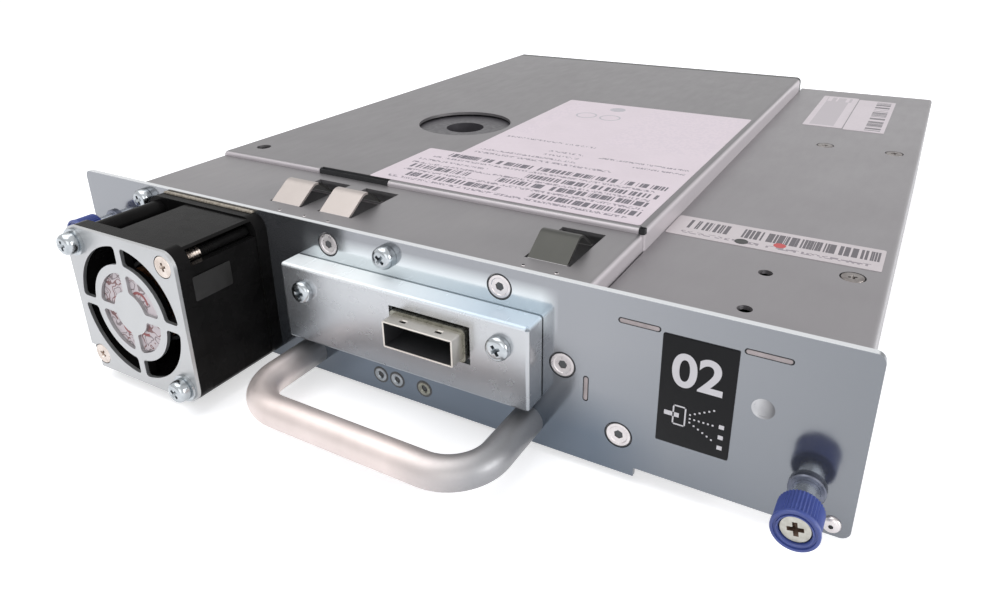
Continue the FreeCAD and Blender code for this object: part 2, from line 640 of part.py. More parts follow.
def plug(label, head, head_length, bore, bore_depth):
    """Flush round pin along +Y with a blind bore in its face."""
    pin_piece = Piece(label, keep=False)
    pin_piece.turned("XY", [(f"{bore} / 2", "0"), (f"{head} / 2", "0"), (f"{head} / 2", head_length),
                            ("0", head_length), ("0", bore_depth), (f"{bore} / 2", bore_depth)])
    return pin_piece.body


# ---------------------------------------------------------------- rear panel

STUD_PLACES = [("cover_left + stud_top_inset", "stud_top_z"),
               ("cover_right - stud_top_inset", "stud_top_z"),
               ("cover_right + stud_side_gap", "cover_bottom + stud_side_rise"),
               ("cover_right + stud_low_gap", "panel_bottom + stud_low_rise")]
RIVET_PLACES = [("rivet_x", "rivet_z"), ("rivet_x + rivet_pitch", "rivet_z"),
                ("rivet_x + rivet_pitch + rivet_far_pitch", "rivet_z")]
PANEL_SCREW_PLACES = [("fan_x - fan_size / 2 - panel_screw_left", "panel_screw_z"),
                      ("cover_left + panel_screw_middle", "panel_screw_z")]
CORNER_RIVET_PLACE = ("panel_right - corner_rivet_inset", "panel_bottom + corner_rivet_rise")


def on_face(places):
    """Places on the panel's outer face, as x, y, z."""
    return [(x, "0", z) for x, z in places]


def fan_corners(which):
    """The fan's corner holes: signs of x and z for each."""
    return [(f"fan_x {sx} fan_hole_pitch / 2", f"fan_z {sz} fan_hole_pitch / 2") for sx, sz in which]


PROUD_CORNERS = [("-", "+"), ("+", "-")]
FLUSH_CORNERS = [("+", "+"), ("-", "-")]


def panel_outline(sketch):
    outline(sketch, [("panel_left", "panel_bottom"), ("panel_right - step_width", "panel_bottom"),
                     ("panel_right - step_width", "panel_bottom + step_height"),
                     ("panel_right", "panel_bottom + step_height"),
                     ("panel_right", "panel_top"), ("panel_left", "panel_top")])


def panel_holes(sketch):
    """Air hole, opening behind the interface cover, and every fastener's hole."""
    circle(sketch, "fan_x", "fan_z", "fan_window")
    rectangle(sketch, "carrier_left + part_gap", "panel_port_bottom",
              "carrier_right - part_gap", "cover_top - cover_sheet")
    for x, z in fan_corners(PROUD_CORNERS + FLUSH_CORNERS):
        circle(sketch, x, z, "screw_shank + 2 * screw_gap")
    for x, z in STUD_PLACES:
        circle(sketch, x, z, "stud_head + 2 * part_gap")
    for x, z in RIVET_PLACES:
        circle(sketch, x, z, "rivet_head + 2 * part_gap")
    for x, z in PANEL_SCREW_PLACES + [CORNER_RIVET_PLACE]:
        circle(sketch, x, z, "screw_shank + 2 * screw_gap")
    for leg in ("leg_left", "leg_right"):
        circle(sketch, leg, "handle_z", "screw_shank + 2 * screw_gap")
    circle(sketch, "thumb_left_x", "thumb_left_z", "bush_outside + 2 * part_gap")
    circle(sketch, "thumb_right_x", "thumb_right_z", "bush_outside + 2 * part_gap")


def tab_slots(sketch):
    """Two level slots and an upright one, lanced half through, and a pressed dimple."""
    slot_x = "panel_right - tab_slot_inset"
    for x in (slot_x, f"{slot_x} - tab_slot_pitch"):
        slot(sketch, x, "panel_top - tab_slot_drop", "tab_slot_length", "tab_slot_width")
    slot(sketch, "cover_right + side_slot_gap", "panel_bottom + side_slot_rise",
         "side_slot_length", "tab_slot_width", upright=True)
    circle(sketch, "panel_right - dimple_inset", "panel_bottom + dimple_rise", "dimple")


panel = Piece("rear_panel")
panel.pad("XZ", "0", "in", "panel_sheet", panel_outline)
panel.round("panel_corner", "y", [{"x": "panel_left", "z": "panel_top"},
                                  {"x": "panel_left", "z": "panel_bottom"},
                                  {"x": "panel_right", "z": "panel_top"},
                                  {"x": "panel_right", "z": "panel_bottom + step_height"}])
panel.cut("XZ", "0", "in", "panel_sheet", panel_holes)
panel.cut("XZ", "0", "in", "panel_sheet / 2", tab_slots)

group("panel_studs", plug("stud_pattern", "stud_head", "panel_sheet", "stud_socket", "panel_sheet / 2"),
      on_face(STUD_PLACES))
group("panel_rivets", plug("rivet_pattern", "rivet_head", "panel_sheet + bracket_sheet", "rivet_bore",
                           "panel_sheet"), on_face(RIVET_PLACES))
group("panel_screws", pan_screw("panel_screw_pattern", "panel_sheet"), on_face(PANEL_SCREW_PLACES))

corner_rivet = Piece("corner_rivet", CORNER_RIVET_PLACE[0], "0", CORNER_RIVET_PLACE[1])
corner_rivet.turned("XY",
                    [("0", "-corner_rivet_head / 4"),
                     ("corner_rivet_head / 4", "-corner_rivet_head / 4"),
                           ("corner_rivet_head / 2", "0"), ("screw_shank / 2", "0"),
                           ("screw_shank / 2", "panel_sheet"), ("0", "panel_sheet")])

# ---------------------------------------------------------------- fan

fan = Piece("fan_frame", "fan_x", "0", "fan_z")
HALF_FAN = "fan_size / 2"


def fan_hole_places(sketch, diameter="fan_hole"):
    for sx in "+-":
        for sz in "+-":
            circle(sketch, f"{sx}fan_hole_pitch / 2", f"{sz}fan_hole_pitch / 2", diameter)


def fan_square(sketch):
    rectangle(sketch, f"-{HALF_FAN}", f"-{HALF_FAN}", HALF_FAN, HALF_FAN)


def fan_waist(sketch):
    inner = f"({HALF_FAN} - fan_waist)"
    outer = "fan_size"
    rectangle(sketch, f"-{outer}", f"-{outer}", outer, outer)
    rectangle(sketch, f"-{inner}", f"-{inner}", inner, inner)


def fan_recesses(sketch):
    """Recess in the top, left of the middle, and one in the right side under the top wall."""
    rectangle(sketch, f"-{HALF_FAN}", f"{HALF_FAN} - fan_recess_drop", "-fan_recess_top", HALF_FAN)
    rectangle(sketch, f"{HALF_FAN} - fan_notch_width",
              f"{HALF_FAN} - fan_notch_roof - fan_notch_height",
              HALF_FAN, f"{HALF_FAN} - fan_notch_roof")


def fan_barrel(sketch):
    circle(sketch, "0", "0", "fan_barrel")


def fan_column(sketch):
    circle(sketch, "-fan_hole_pitch / 2", "fan_hole_pitch / 2", "fan_column")


fan.pad("XZ", "0", "out", "fan_depth", fan_square)
fan.round("fan_corner", "y",
          [{"x": f"{sx}{HALF_FAN}", "z": f"{sz}{HALF_FAN}"} for sx in "+-" for sz in "+-"])
for shape in (fan_waist, fan_recesses):
    fan.cut("XZ", "-fan_flange", "out", "fan_depth - 2 * fan_flange", shape)
for shape in (fan_barrel, fan_column):
    fan.pad("XZ", "-fan_flange", "out", "fan_depth - 2 * fan_flange", shape)
fan.cut("XZ", "0", "out", "fan_depth", lambda sketch: circle(sketch, "0", "0", "fan_duct"))
fan.cut("XZ", "0", "out", "fan_depth", fan_hole_places)
arm = fan.pad("XZ", "-fan_depth", "in", "fan_spider",
              lambda sketch: rectangle(sketch, "-fan_duct / 2 - part_gap", "-fan_arm / 2",
                                       "fan_duct / 2 + part_gap", "fan_arm / 2"))
fan.repeat([arm], "Y", "2", "90")
fan.pad("XZ", "-fan_depth", "in", "fan_spider",
        lambda sketch: circle(sketch, "0", "0", "fan_motor_plate"))


def stator_tube(sketch):
    circle(sketch, "0", "0", "stator_tube")
    circle(sketch, "0", "0", "bearing_outside")


fan.pad("XZ", "fan_plate_y", "in", "stator_end - fan_plate_y - 2 * fan_hub_wall", stator_tube)

bearing = Piece("fan_bearing", "fan_x", "0", "fan_z")


def bearing_ring(sketch):
    circle(sketch, "0", "0", "bearing_outside")
    circle(sketch, "0", "0", "fan_shaft + 2 * bearing_gap")


bearing.pad("XZ", "fan_plate_y", "in", "stator_end - fan_plate_y - 2 * fan_hub_wall", bearing_ring)

stator = Piece("fan_stator", "fan_x", "0", "fan_z")


def stator_ring(sketch):
    circle(sketch, "0", "0", "stator_outside")
    circle(sketch, "0", "0", "stator_tube")


stator.pad("XZ", "fan_plate_y + 3 * fan_hub_wall", "in",
           "stator_end - fan_plate_y - 6 * fan_hub_wall", stator_ring)

rotor = Piece("fan_rotor", "fan_x", "0", "fan_z")
rotor.turned("XY", [("0", "-fan_hub_end"), ("fan_hub / 2 - fan_hub_wall", "-fan_hub_end"),
                    ("fan_hub / 2", "-fan_hub_end - fan_hub_wall"),
                    ("fan_hub / 2", "-fan_hub_end - fan_hub_length"),
                    ("fan_hub / 2 - fan_hub_wall", "-fan_hub_end - fan_hub_length"),
                    ("fan_hub / 2 - fan_hub_wall", "-fan_hub_end - 2 * fan_hub_wall"),
                    ("fan_shaft / 2", "-fan_hub_end - 2 * fan_hub_wall"),
                    ("0", "-fan_hub_end - 2 * fan_hub_wall")])


def blade_section(chord, pitch):
    """Thin cambered section: two arcs from the leading to the trailing edge."""
    def draw(sketch):
        arcs = []
        for bulge in ("(blade_camber + blade_sheet / 2)", "(blade_camber - blade_sheet / 2)"):
            radius = f"((({chord}) / 2) ^ 2 + {bulge} ^ 2) / (2 * {bulge})"
            depth = f"({radius} - {bulge})"
            facing = size(pitch) + 90
            half = math.degrees(math.asin(size(chord) / 2 / size(radius)))
            arcs.append(arc_about(sketch, f"{depth} * sin({pitch})",
                                  f"blade_y - {depth} * cos({pitch})",
                                  radius, facing - half, facing + half))
        join(sketch, arcs[0], 1, arcs[1], 1)
        join(sketch, arcs[0], 2, arcs[1], 2)
    return draw


def add_blades(piece):
    """Twisted blades lofted from hub to duct, repeated round the shaft and trimmed to the tip."""
    root = piece.sketch("XY", "fan_hub / 2 - fan_hub_wall / 2")
    blade_section("blade_root_chord", "blade_root_pitch")(root)
    tip = piece.sketch("XY", "fan_duct / 2 + 2 * blade_gap")
    blade_section("blade_tip_chord", "blade_tip_pitch")(tip)
    blade = piece.feature("AdditiveLoft", root)
    blade.Sections = [tip]
    blade.Ruled = True
    doc.recompute()
    piece.repeat([blade], "Y", "blade_count")
    piece.turned("XY",
                 [("fan_duct / 2 - blade_gap", "0"), ("fan_size", "0"), ("fan_size", "-fan_depth"),
                        ("fan_duct / 2 - blade_gap", "-fan_depth")], kind="Groove")


add_blades(rotor)

shaft = Piece("fan_shaft", "fan_x", "0", "fan_z")
shaft.turned("XY",
             [("0", "fan_plate_y + fan_hub_wall"), ("fan_shaft / 2", "fan_plate_y + fan_hub_wall"),
                    ("fan_shaft / 2", "-fan_hub_end - 2 * fan_hub_wall"),
                    ("0", "-fan_hub_end - 2 * fan_hub_wall")])

guard = Piece("fan_guard", "fan_x", "-fan_depth", "fan_z")


def guard_outline(sketch):
    notch_x = f"guard_notch_width - {HALF_FAN}"
    notch_z = f"guard_notch_height - {HALF_FAN}"
    outline(sketch, [(notch_x, f"-{HALF_FAN}"), (HALF_FAN, f"-{HALF_FAN}"), (HALF_FAN, HALF_FAN),
                     (f"-{HALF_FAN}", HALF_FAN), (f"-{HALF_FAN}", notch_z), (notch_x, notch_z)])


def guard_holes(sketch):
    for signs, diameter in ((PROUD_CORNERS, "fan_hole"), (FLUSH_CORNERS, "flat_head + 2 * part_gap")):
        for sx, sz in signs:
            circle(sketch, f"{sx}fan_hole_pitch / 2", f"{sz}fan_hole_pitch / 2", diameter)


def guard_ring(outer, inner):
    def draw(sketch):
        circle(sketch, "0", "0", outer)
        circle(sketch, "0", "0", inner)
    return draw


guard.pad("XZ", "0", "out", "guard_sheet", guard_outline)
guard.round("guard_corner", "y", [{"x": HALF_FAN, "z": HALF_FAN}, {"x": HALF_FAN, "z": f"-{HALF_FAN}"},
                                  {"x": f"-{HALF_FAN}", "z": HALF_FAN}])
guard.cut("XZ", "0", "out", "guard_sheet", guard_holes)
guard.cut("XZ", "0", "out", "guard_sheet",
          lambda sketch: circle(sketch, "0", "0", "guard_slot_outside"))
spoke = guard.pad("XZ", "0", "out", "guard_sheet",
                  lambda sketch: rectangle(sketch, "-guard_slot_outside / 2 - part_gap",
                                           "-guard_spoke / 2",
                                           "guard_slot_outside / 2 + part_gap", "guard_spoke / 2"))
guard.repeat([spoke], "Y", "2", "90")
guard.pad("XZ", "0", "out", "guard_sheet", guard_ring("guard_slot_inside", "guard_eye_outside"))
guard.pad("XZ", "0", "out", "guard_sheet", lambda sketch: circle(sketch, "0", "0", "guard_eye_inside"))
HALF_SPOKE = "guard_spoke / 2"
slot_corners = []
for ring in ("guard_slot_outside", "guard_slot_inside", "guard_eye_outside", "guard_eye_inside"):
    far = f"sqrt(({ring} / 2) ^ 2 - ({HALF_SPOKE}) ^ 2)"
    for sx in "+-":
        for sz in "+-":
            slot_corners.append({"x": f"{sx}{HALF_SPOKE}", "z": f"{sz}{far}"})
            slot_corners.append({"x": f"{sx}{far}", "z": f"{sz}{HALF_SPOKE}"})
guard.round("guard_slot_corner", "y", slot_corners)

long_screw = "guard_sheet + fan_depth + panel_sheet"
flat_screw = Piece("fan_flat_screw_pattern", keep=False)
flat_screw.turned("XY", [("0", "0"), ("flat_head / 2", "0"), ("flat_head / 2", "guard_sheet"),
                         ("screw_shank / 2", "guard_sheet"), ("screw_shank / 2", long_screw),
                         ("0", long_screw)])
group("fan_screws_flush", flat_screw.body,
      [(x, "-fan_depth - guard_sheet", z) for x, z in fan_corners(FLUSH_CORNERS)])
group("fan_screws_proud", pan_screw("fan_proud_screw_pattern", f"washer_sheet + {long_screw}"),
      [(x, "-fan_depth - guard_sheet - washer_sheet", z) for x, z in fan_corners(PROUD_CORNERS)])
washer = Piece("fan_washer_pattern", keep=False)
washer.turned("XY", [("screw_shank / 2 + screw_gap", "0"), ("washer_outside / 2", "0"),
                     ("washer_outside / 2", "washer_sheet"),
                     ("screw_shank / 2 + screw_gap", "washer_sheet")])
group("fan_washers", washer.body,
      [(x, "-fan_depth - guard_sheet - washer_sheet", z) for x, z in fan_corners(PROUD_CORNERS)])

# ---------------------------------------------------------------- interface cover and port

cover = Piece("interface_cover")
cover.pad("XZ", "0", "out", "cover_depth",
          lambda sketch: rectangle(sketch, "cover_left", "cover_bottom", "cover_right", "cover_top"))
cover.round("cover_bend", "x",
            [{"y": "-cover_depth", "z": "cover_top"}, {"y": "-cover_depth", "z": "cover_bottom"}])
cover.round("cover_bend", "z",
            [{"y": "-cover_depth", "x": "cover_left"}, {"y": "-cover_depth", "x": "cover_right"}])
cover.cut("XZ", "0", "out", "cover_depth - cover_sheet",
          lambda sketch: rectangle(sketch, "cover_left + cover_sheet", "cover_bottom + cover_sheet",
                                   "cover_right - cover_sheet", "cover_top - cover_sheet"))


def cover_openings(sketch):
    rectangle(sketch, "port_x - port_width / 2", "port_z - port_height / 2",
              "port_x + port_width / 2", "port_z + port_height / 2")
    for sign in "+-":
        circle(sketch, f"cover_middle {sign} cover_screw_pitch / 2", "cover_screw_z",
               "screw_shank + 2 * screw_gap")


cover.cut("XZ", "-cover_depth", "in", "cover_sheet", cover_openings)


def cover_edge(sketch):
    rectangle(sketch, "cover_left - cover_sheet", "cover_bottom - cover_sheet",
              "cover_right + cover_sheet", "cover_top + cover_sheet")
    rectangle(sketch, "cover_left + cover_gap_depth", "cover_bottom + cover_gap_depth",
              "cover_right - cover_gap_depth", "cover_top - cover_gap_depth")


cover.cut("XZ", "0", "out", "cover_gap", cover_edge)
cover.cut("XY", "cover_top", "down", "cover_relief",
          lambda sketch: rectangle(sketch, "cover_right - cover_relief", "-cover_depth",
                                   "cover_right", "cover_relief - cover_depth"))
group("interface_screws",
      pan_screw("cover_screw_pattern", "cover_sheet + carrier_sheet", "cover_head_height"),
      [(f"cover_middle {sign} cover_screw_pitch / 2", "-cover_depth", "cover_screw_z")
       for sign in "+-"])

carrier = Piece("port_carrier")
carrier.pad("XZ", "carrier_front", "in", "carrier_sheet",
            lambda sketch: rectangle(sketch, "carrier_left", "port_board_bottom - carrier_sheet",
                                     "carrier_right", "cover_top - 2 * cover_sheet"))
carrier.pad("XY", "port_board_bottom - carrier_sheet", "up", "carrier_sheet",
            lambda sketch: rectangle(sketch, "port_board_left", "carrier_front",
                                     "port_board_left + port_board_width",
                                     "port_board_front + port_board_length"))


def carrier_openings(sketch):
    rectangle(sketch, "port_x - cage_width / 2 - carrier_gap", "cage_bottom",
              "port_x + cage_width / 2 + carrier_gap", "cage_bottom + cage_height + carrier_gap")
    for sign in "+-":
        circle(sketch, f"cover_middle {sign} cover_screw_pitch / 2", "cover_screw_z",
               "screw_shank + 2 * screw_gap")


carrier.cut("XZ", "carrier_front", "in", "carrier_sheet", carrier_openings)

port_board = Piece("interface_board")
port_board.pad("XY", "port_board_bottom", "up", "board_sheet",
               lambda sketch: rectangle(sketch, "port_board_left", "port_board_front",
                                        "port_board_left + port_board_width",
                                        "port_board_front + port_board_length"))

cage = Piece("port_cage", "port_x", "-cage_reach", "port_z")


def cage_section(inset):
    def draw(sketch):
        rectangle(sketch, f"{inset} - cage_width / 2", f"{inset} - cage_height / 2",
                  f"cage_width / 2 - {inset}", f"cage_height / 2 - {inset}")
    return draw


def latch_holes(sketch):
    for sign in "+-":
        rectangle(sketch, f"{sign}latch_pitch / 2 - latch_hole / 2", "latch_hole",
                  f"{sign}latch_pitch / 2 + latch_hole / 2", "2 * latch_hole")


cage.pad("XZ", "0", "in", "cage_length", cage_section("0"))
cage.cut("XZ", "0", "in", "cage_length", cage_section("cage_wall"))
cage.cut("XY", "cage_height / 2", "down", "cage_wall", latch_holes)

tongue = Piece("port_tongue", "port_x", "-cage_reach", "port_z")
tongue.pad("XZ", "cage_length", "out", "(cage_length - tongue_recess) / 2", cage_section("cage_wall"))
tongue.pad("XZ", "tongue_recess", "in", "cage_length - tongue_recess",
           lambda sketch: rectangle(sketch, "2.5 * cage_wall - cage_width / 2", "-tongue_sheet / 2",
                                    "cage_width / 2 - 2.5 * cage_wall", "tongue_sheet / 2"))

# ---------------------------------------------------------------- handle

handle = Piece("handle", "0", "0", "handle_z")


def handle_path(sketch):
    """U-shaped axis of the rod: two legs, a grip bar and quarter bends."""
    straight = "-(handle_reach - handle_bend)"
    left = arc_about(sketch, "leg_left + handle_bend", straight, "handle_bend", 180, 270)
    right = arc_about(sketch, "leg_right - handle_bend", straight, "handle_bend", 270, 360)
    for arc, level_point, plumb_point in ((left, 1, 2), (right, 2, 1)):
        sketch.addConstraint(Sketcher.Constraint("Horizontal", arc, level_point, arc, 3))
        sketch.addConstraint(Sketcher.Constraint("Vertical", arc, plumb_point, arc, 3))
    left_arc = sketch.Geometry[left]
    right_arc = sketch.Geometry[right]
    leg = sketch.addGeometry(Part.LineSegment(spot("leg_left", "0"), left_arc.StartPoint))
    bar = sketch.addGeometry(Part.LineSegment(left_arc.EndPoint, right_arc.StartPoint))
    far_leg = sketch.addGeometry(Part.LineSegment(right_arc.EndPoint, spot("leg_right", "0")))
    pin(sketch, leg, 1, "leg_left", "0")
    pin(sketch, far_leg, 2, "leg_right", "0")
    join(sketch, leg, 2, left, 1)
    join(sketch, left, 2, bar, 1)
    join(sketch, bar, 2, right, 1)
    join(sketch, right, 2, far_leg, 1)


path = handle.sketch("XY")
handle_path(path)
rod = handle.sketch("XZ")
circle(rod, "leg_left", "0", "handle_rod")
bent_rod = handle.feature("AdditivePipe", rod)
bent_rod.Spine = path


def handle_bores(sketch):
    for leg in ("leg_left", "leg_right"):
        circle(sketch, leg, "0", "screw_shank + 2 * screw_gap")


handle.cut("XZ", "0", "out", "handle_rod", handle_bores)
group("handle_screws",
      pan_screw("handle_screw_pattern", "panel_sheet + handle_rod - screw_gap", "cover_head_height"),
      [(leg, "panel_sheet", "handle_z") for leg in ("leg_left", "leg_right")],
      turn=(FreeCAD.Vector(0, 0, 1), HALF_TURN))

# ---------------------------------------------------------------- captive thumbscrews


def thumbscrew(side):
    """Bush, shouldered screw, ribbed knob and retaining ring of one captive screw."""
    x, z = f"thumb_{side}_x", f"thumb_{side}_z"
    bush = Piece(f"{side}_thumb_bush", x, "0", z)
    bore = "thumb_shoulder / 2 + bearing_gap"
    bush.turned("XY",
                [(bore, "-collar_height"), ("collar_outside / 2 - collar_height / 4", "-collar_height"),
                       ("collar_outside / 2", "-0.75 * collar_height"), ("collar_outside / 2", "0"),
                       ("bush_outside / 2", "0"), ("bush_outside / 2", "panel_sheet + bush_tail"),
                       (bore, "panel_sheet + bush_tail")])
    screw = Piece(f"{side}_thumb_screw", x, "0", z)
    head = "knob_outside / 2 - knob_wall"
    screw.turned("XY", [("0", "knob_front + knob_lip / 2"), (head, "knob_front + knob_lip / 2"),
                        (head, "knob_front + knob_lip / 2 + knob_wall"),
                        ("thumb_shoulder / 2", "knob_front + knob_lip / 2 + knob_wall"),
                        ("thumb_shoulder / 2", "clip_y"), ("thumb_thread / 2 - clip_gap", "clip_y"),
                        ("thumb_thread / 2 - clip_gap", "shoulder_end"),
                        ("thumb_thread / 2", "shoulder_end"),
                        ("thumb_thread / 2", "shoulder_end + thumb_tip_length - thumb_thread / 5"),
                        ("thumb_thread / 3", "shoulder_end + thumb_tip_length"),
                        ("0", "shoulder_end + thumb_tip_length")])
    knob = Piece(f"{side}_thumb_knob", x, "0", z)
    grip = "knob_outside / 2 - knob_rib"
    knob.turned("XY", [(head, "knob_front"), ("knob_outside / 2 - knob_rib", "knob_front"),
                       ("knob_outside / 2", "knob_front + knob_rib"),
                       ("knob_outside / 2", "knob_front + knob_lip"), (grip, "knob_front + knob_lip"),
                       (grip, "knob_back"), ("thumb_shoulder / 2", "knob_back"),
                       ("thumb_shoulder / 2", "knob_front + knob_lip / 2 + knob_wall"),
                       (head, "knob_front + knob_lip / 2 + knob_wall")])
    rib = knob.pad("XZ", "knob_back", "out", "knob_length - knob_lip",
                   lambda sketch: rectangle(sketch, "-knob_rib", f"{grip} - knob_rib / 2",
                                            "knob_rib", "knob_outside / 2 - knob_rib / 4"))
    knob.repeat([rib], "Y", "knob_ribs")
    clip = Piece(f"{side}_thumb_clip", x, "0", z)
    groove = "thumb_thread / 2 - clip_gap + bearing_gap"
    clip.turned("XY", [(groove, "clip_y + clip_gap / 2"), ("bush_outside / 2", "clip_y + clip_gap / 2"),
                       ("bush_outside / 2", "clip_y + clip_gap / 2 + clip_sheet"),
                       (groove, "clip_y + clip_gap / 2 + clip_sheet")])


for side in ("left", "right"):
    thumbscrew(side)

# ---------------------------------------------------------------- drive housing

base = Piece("drive_base")
INNER_LEFT = "drive_left + base_wall"
INNER_RIGHT = "drive_right - base_wall"
BAY_HOLES = [(f"drive_front - side_hole_front{back}", f"side_hole_rise{up}")
             for back in ("", " - side_hole_pitch") for up in ("", " + side_hole_row")]
SLED_HOLES = [(f"{y} - sled_hole_shift", z) for y, z in BAY_HOLES]


def block(x0, y0, x1, y1):
    return lambda sketch: rectangle(sketch, x0, y0, x1, y1)


def disc(x, y, diameter):
    return lambda sketch: circle(sketch, x, y, diameter)


base.pad("XY", "lid_sheet", "up", "lid_under - lid_sheet",
         block("drive_left", "base_rear", "drive_right", "base_front"))
base.cut("XY", "lid_under", "down", "lid_under - floor_top",
         block(INNER_LEFT, "base_rear + base_wall", INNER_RIGHT, "base_front - base_wall"))
base.cut("XY", "lid_sheet", "up", "base_floor_rise - lid_sheet",
         block(INNER_LEFT, "base_rear + base_wall", INNER_RIGHT, "base_front - base_wall"))
for side_x in ("drive_left", "drive_right - lid_sheet"):
    base.cut("XY", "lid_under", "down", "lid_skirt - lid_sheet",
             block(side_x, "base_rear", f"{side_x} + lid_sheet", "base_front"))
base.cut("XZ", "base_front", "out", "base_wall",
         block("drive_middle - slot_width / 2", "slot_bottom",
               "drive_middle + slot_width / 2", "slot_bottom + slot_height"))
base.pad("XY", "floor_top", "up", "boss_height", disc("reel_x", "reel_y", "boss_outside"))
base.pad("XY", "floor_top", "up", "boss_height", disc("drive_middle", "clutch_y", "boss_outside"))
RAIL_TOP = "tray_rise - slide_gap"
for sign in "+-":
    near = f"drive_middle {sign} (tray_half + slide_gap)"
    far = f"drive_middle {sign} (tray_half + slide_gap + tray_lip)"
    inner, outer = (near, far) if sign == "+" else (far, near)
    base.pad("XY", "floor_top", "up", f"{RAIL_TOP} - floor_top",
             block(inner, "tray_back", outer, "base_front - base_wall"))


def side_holes(places):
    def draw(sketch):
        for y, z in places:
            circle(sketch, y, z, "screw_shank + 2 * screw_gap")
    return draw


base.cut("YZ", "drive_right", "left", "base_wall", side_holes(SLED_HOLES))
base.cut("YZ", "drive_left", "right", "base_wall", side_holes(BAY_HOLES))

lid = Piece("drive_top_cover")
lid.pad("XY", "drive_height", "down", "lid_skirt",
        block("drive_left", "drive_rear", "drive_right", "base_front"))
lid.round("lid_bend", "y",
          [{"x": "drive_right", "z": "drive_height"}, {"x": "drive_left", "z": "drive_height"}])
lid.round("lid_rear_bend", "x", [{"y": "drive_rear", "z": "drive_height"}])
lid.cut("XY", "drive_height - lid_skirt", "up", "lid_skirt - lid_sheet",
        block("drive_left + lid_sheet", "drive_rear + lid_sheet", "drive_right - lid_sheet",
              "base_front + lid_sheet"))


def lid_holes(sketch):
    circle(sketch, "reel_x", "reel_y", "lid_port")
    circle(sketch, "drive_left + lid_hole_inset", "drive_rear + lid_hole_inset", "lid_hole")


lid.cut("XY", "drive_height", "down", "lid_sheet", lid_holes)
lid.cut("XY", "drive_height", "down", "lid_slot_drop",
        block("drive_left + lid_slot_inset", "drive_rear - lid_sheet",
              "drive_left + lid_slot_inset + lid_slot", "drive_rear + lid_slot_drop"))
lid.cut("XY", "drive_height", "down", "lid_relief",
        block("drive_right - lid_relief", "drive_rear - lid_sheet",
              "drive_right + lid_sheet", "drive_rear + lid_relief"))

bottom = Piece("drive_bottom_cover")
bottom.pad("XY", "0", "up", "lid_sheet", block("drive_left", "drive_rear", "drive_right", "base_front"))
bottom.pad("XZ", "drive_rear", "in", "lid_sheet",
           block("drive_left", "0", "drive_right", "drive_height - lid_skirt - part_gap"))

bezel = Piece("front_bezel")
bezel.pad("XZ", "base_front", "in", "bezel_sheet",
          block("drive_left", "0", "drive_right", "drive_height"))
bezel.round("lid_bend", "y", [{"x": side, "z": level} for side in ("drive_left", "drive_right")
                              for level in ("0", "drive_height")])
bezel.cut("XZ", "base_front", "in", "bezel_sheet",
          block("drive_middle - slot_width / 2", "slot_bottom",
                "drive_middle + slot_width / 2", "slot_bottom + slot_height"))
bezel.round("bezel_sheet / 2", "x", [{"y": "drive_front", "z": "slot_bottom"},
                                     {"y": "drive_front", "z": "slot_bottom + slot_height"}],
            kind="Chamfer")

main_board = Piece("main_board")
main_board.pad("XY", "base_floor_rise - board_sheet", "up", "board_sheet",
               block(f"{INNER_LEFT} + part_gap", "base_rear + base_wall + part_gap",
                     f"{INNER_RIGHT} - part_gap", "base_front - base_wall - part_gap"))

# ---------------------------------------------------------------- reels and tape path

spindle = Piece("reel_spindle", "reel_x", "reel_y", "0")
SHOULDER = "reel_rise - slide_gap"
spindle.turned("XZ",
               [("0", "boss_top"), ("spindle_foot / 2", "boss_top"), ("spindle_foot / 2", SHOULDER),
                      ("spindle / 2", SHOULDER), ("spindle / 2", "spindle_top"), ("0", "spindle_top")])

CUP = "reel_rise - reel_cup_depth"
WEB_TOP = "reel_rise + reel_flange"
reel = Piece("takeup_reel", "reel_x", "reel_y", "0")
reel.turned("XZ",
            [("spindle / 2 + bearing_gap", "reel_rise"), ("reel_cap / 2 - reel_flange", "reel_rise"),
                   ("reel_cap / 2 - reel_flange", CUP), ("reel_cap / 2", CUP),
                   ("reel_cap / 2", "reel_rise"),
                   ("reel_outside / 2", "reel_rise"), ("reel_outside / 2", WEB_TOP),
                   ("reel_core / 2", WEB_TOP), ("reel_core / 2", "reel_upper - reel_flange"),
                   ("reel_outside / 2", "reel_upper - reel_flange"), ("reel_outside / 2", "reel_upper"),
                   ("reel_cap / 2", "reel_upper"), ("reel_cap / 2", "reel_top"),
                   ("reel_eye / 2", "reel_top"), ("reel_eye / 2", "spindle_top + slide_gap"),
                   ("spindle / 2 + bearing_gap", "spindle_top + slide_gap")])

reel_motor = Piece("reel_motor", "reel_x", "reel_y", "0")
MOTOR_EDGE = "reel_cap / 2 - reel_flange - motor_gap"
reel_motor.turned("XZ", [("spindle_foot / 2 + part_gap", "boss_top"), (MOTOR_EDGE, "boss_top"),
                         (MOTOR_EDGE, "reel_rise - motor_gap"),
                         ("spindle_foot / 2 + part_gap", "reel_rise - motor_gap")])

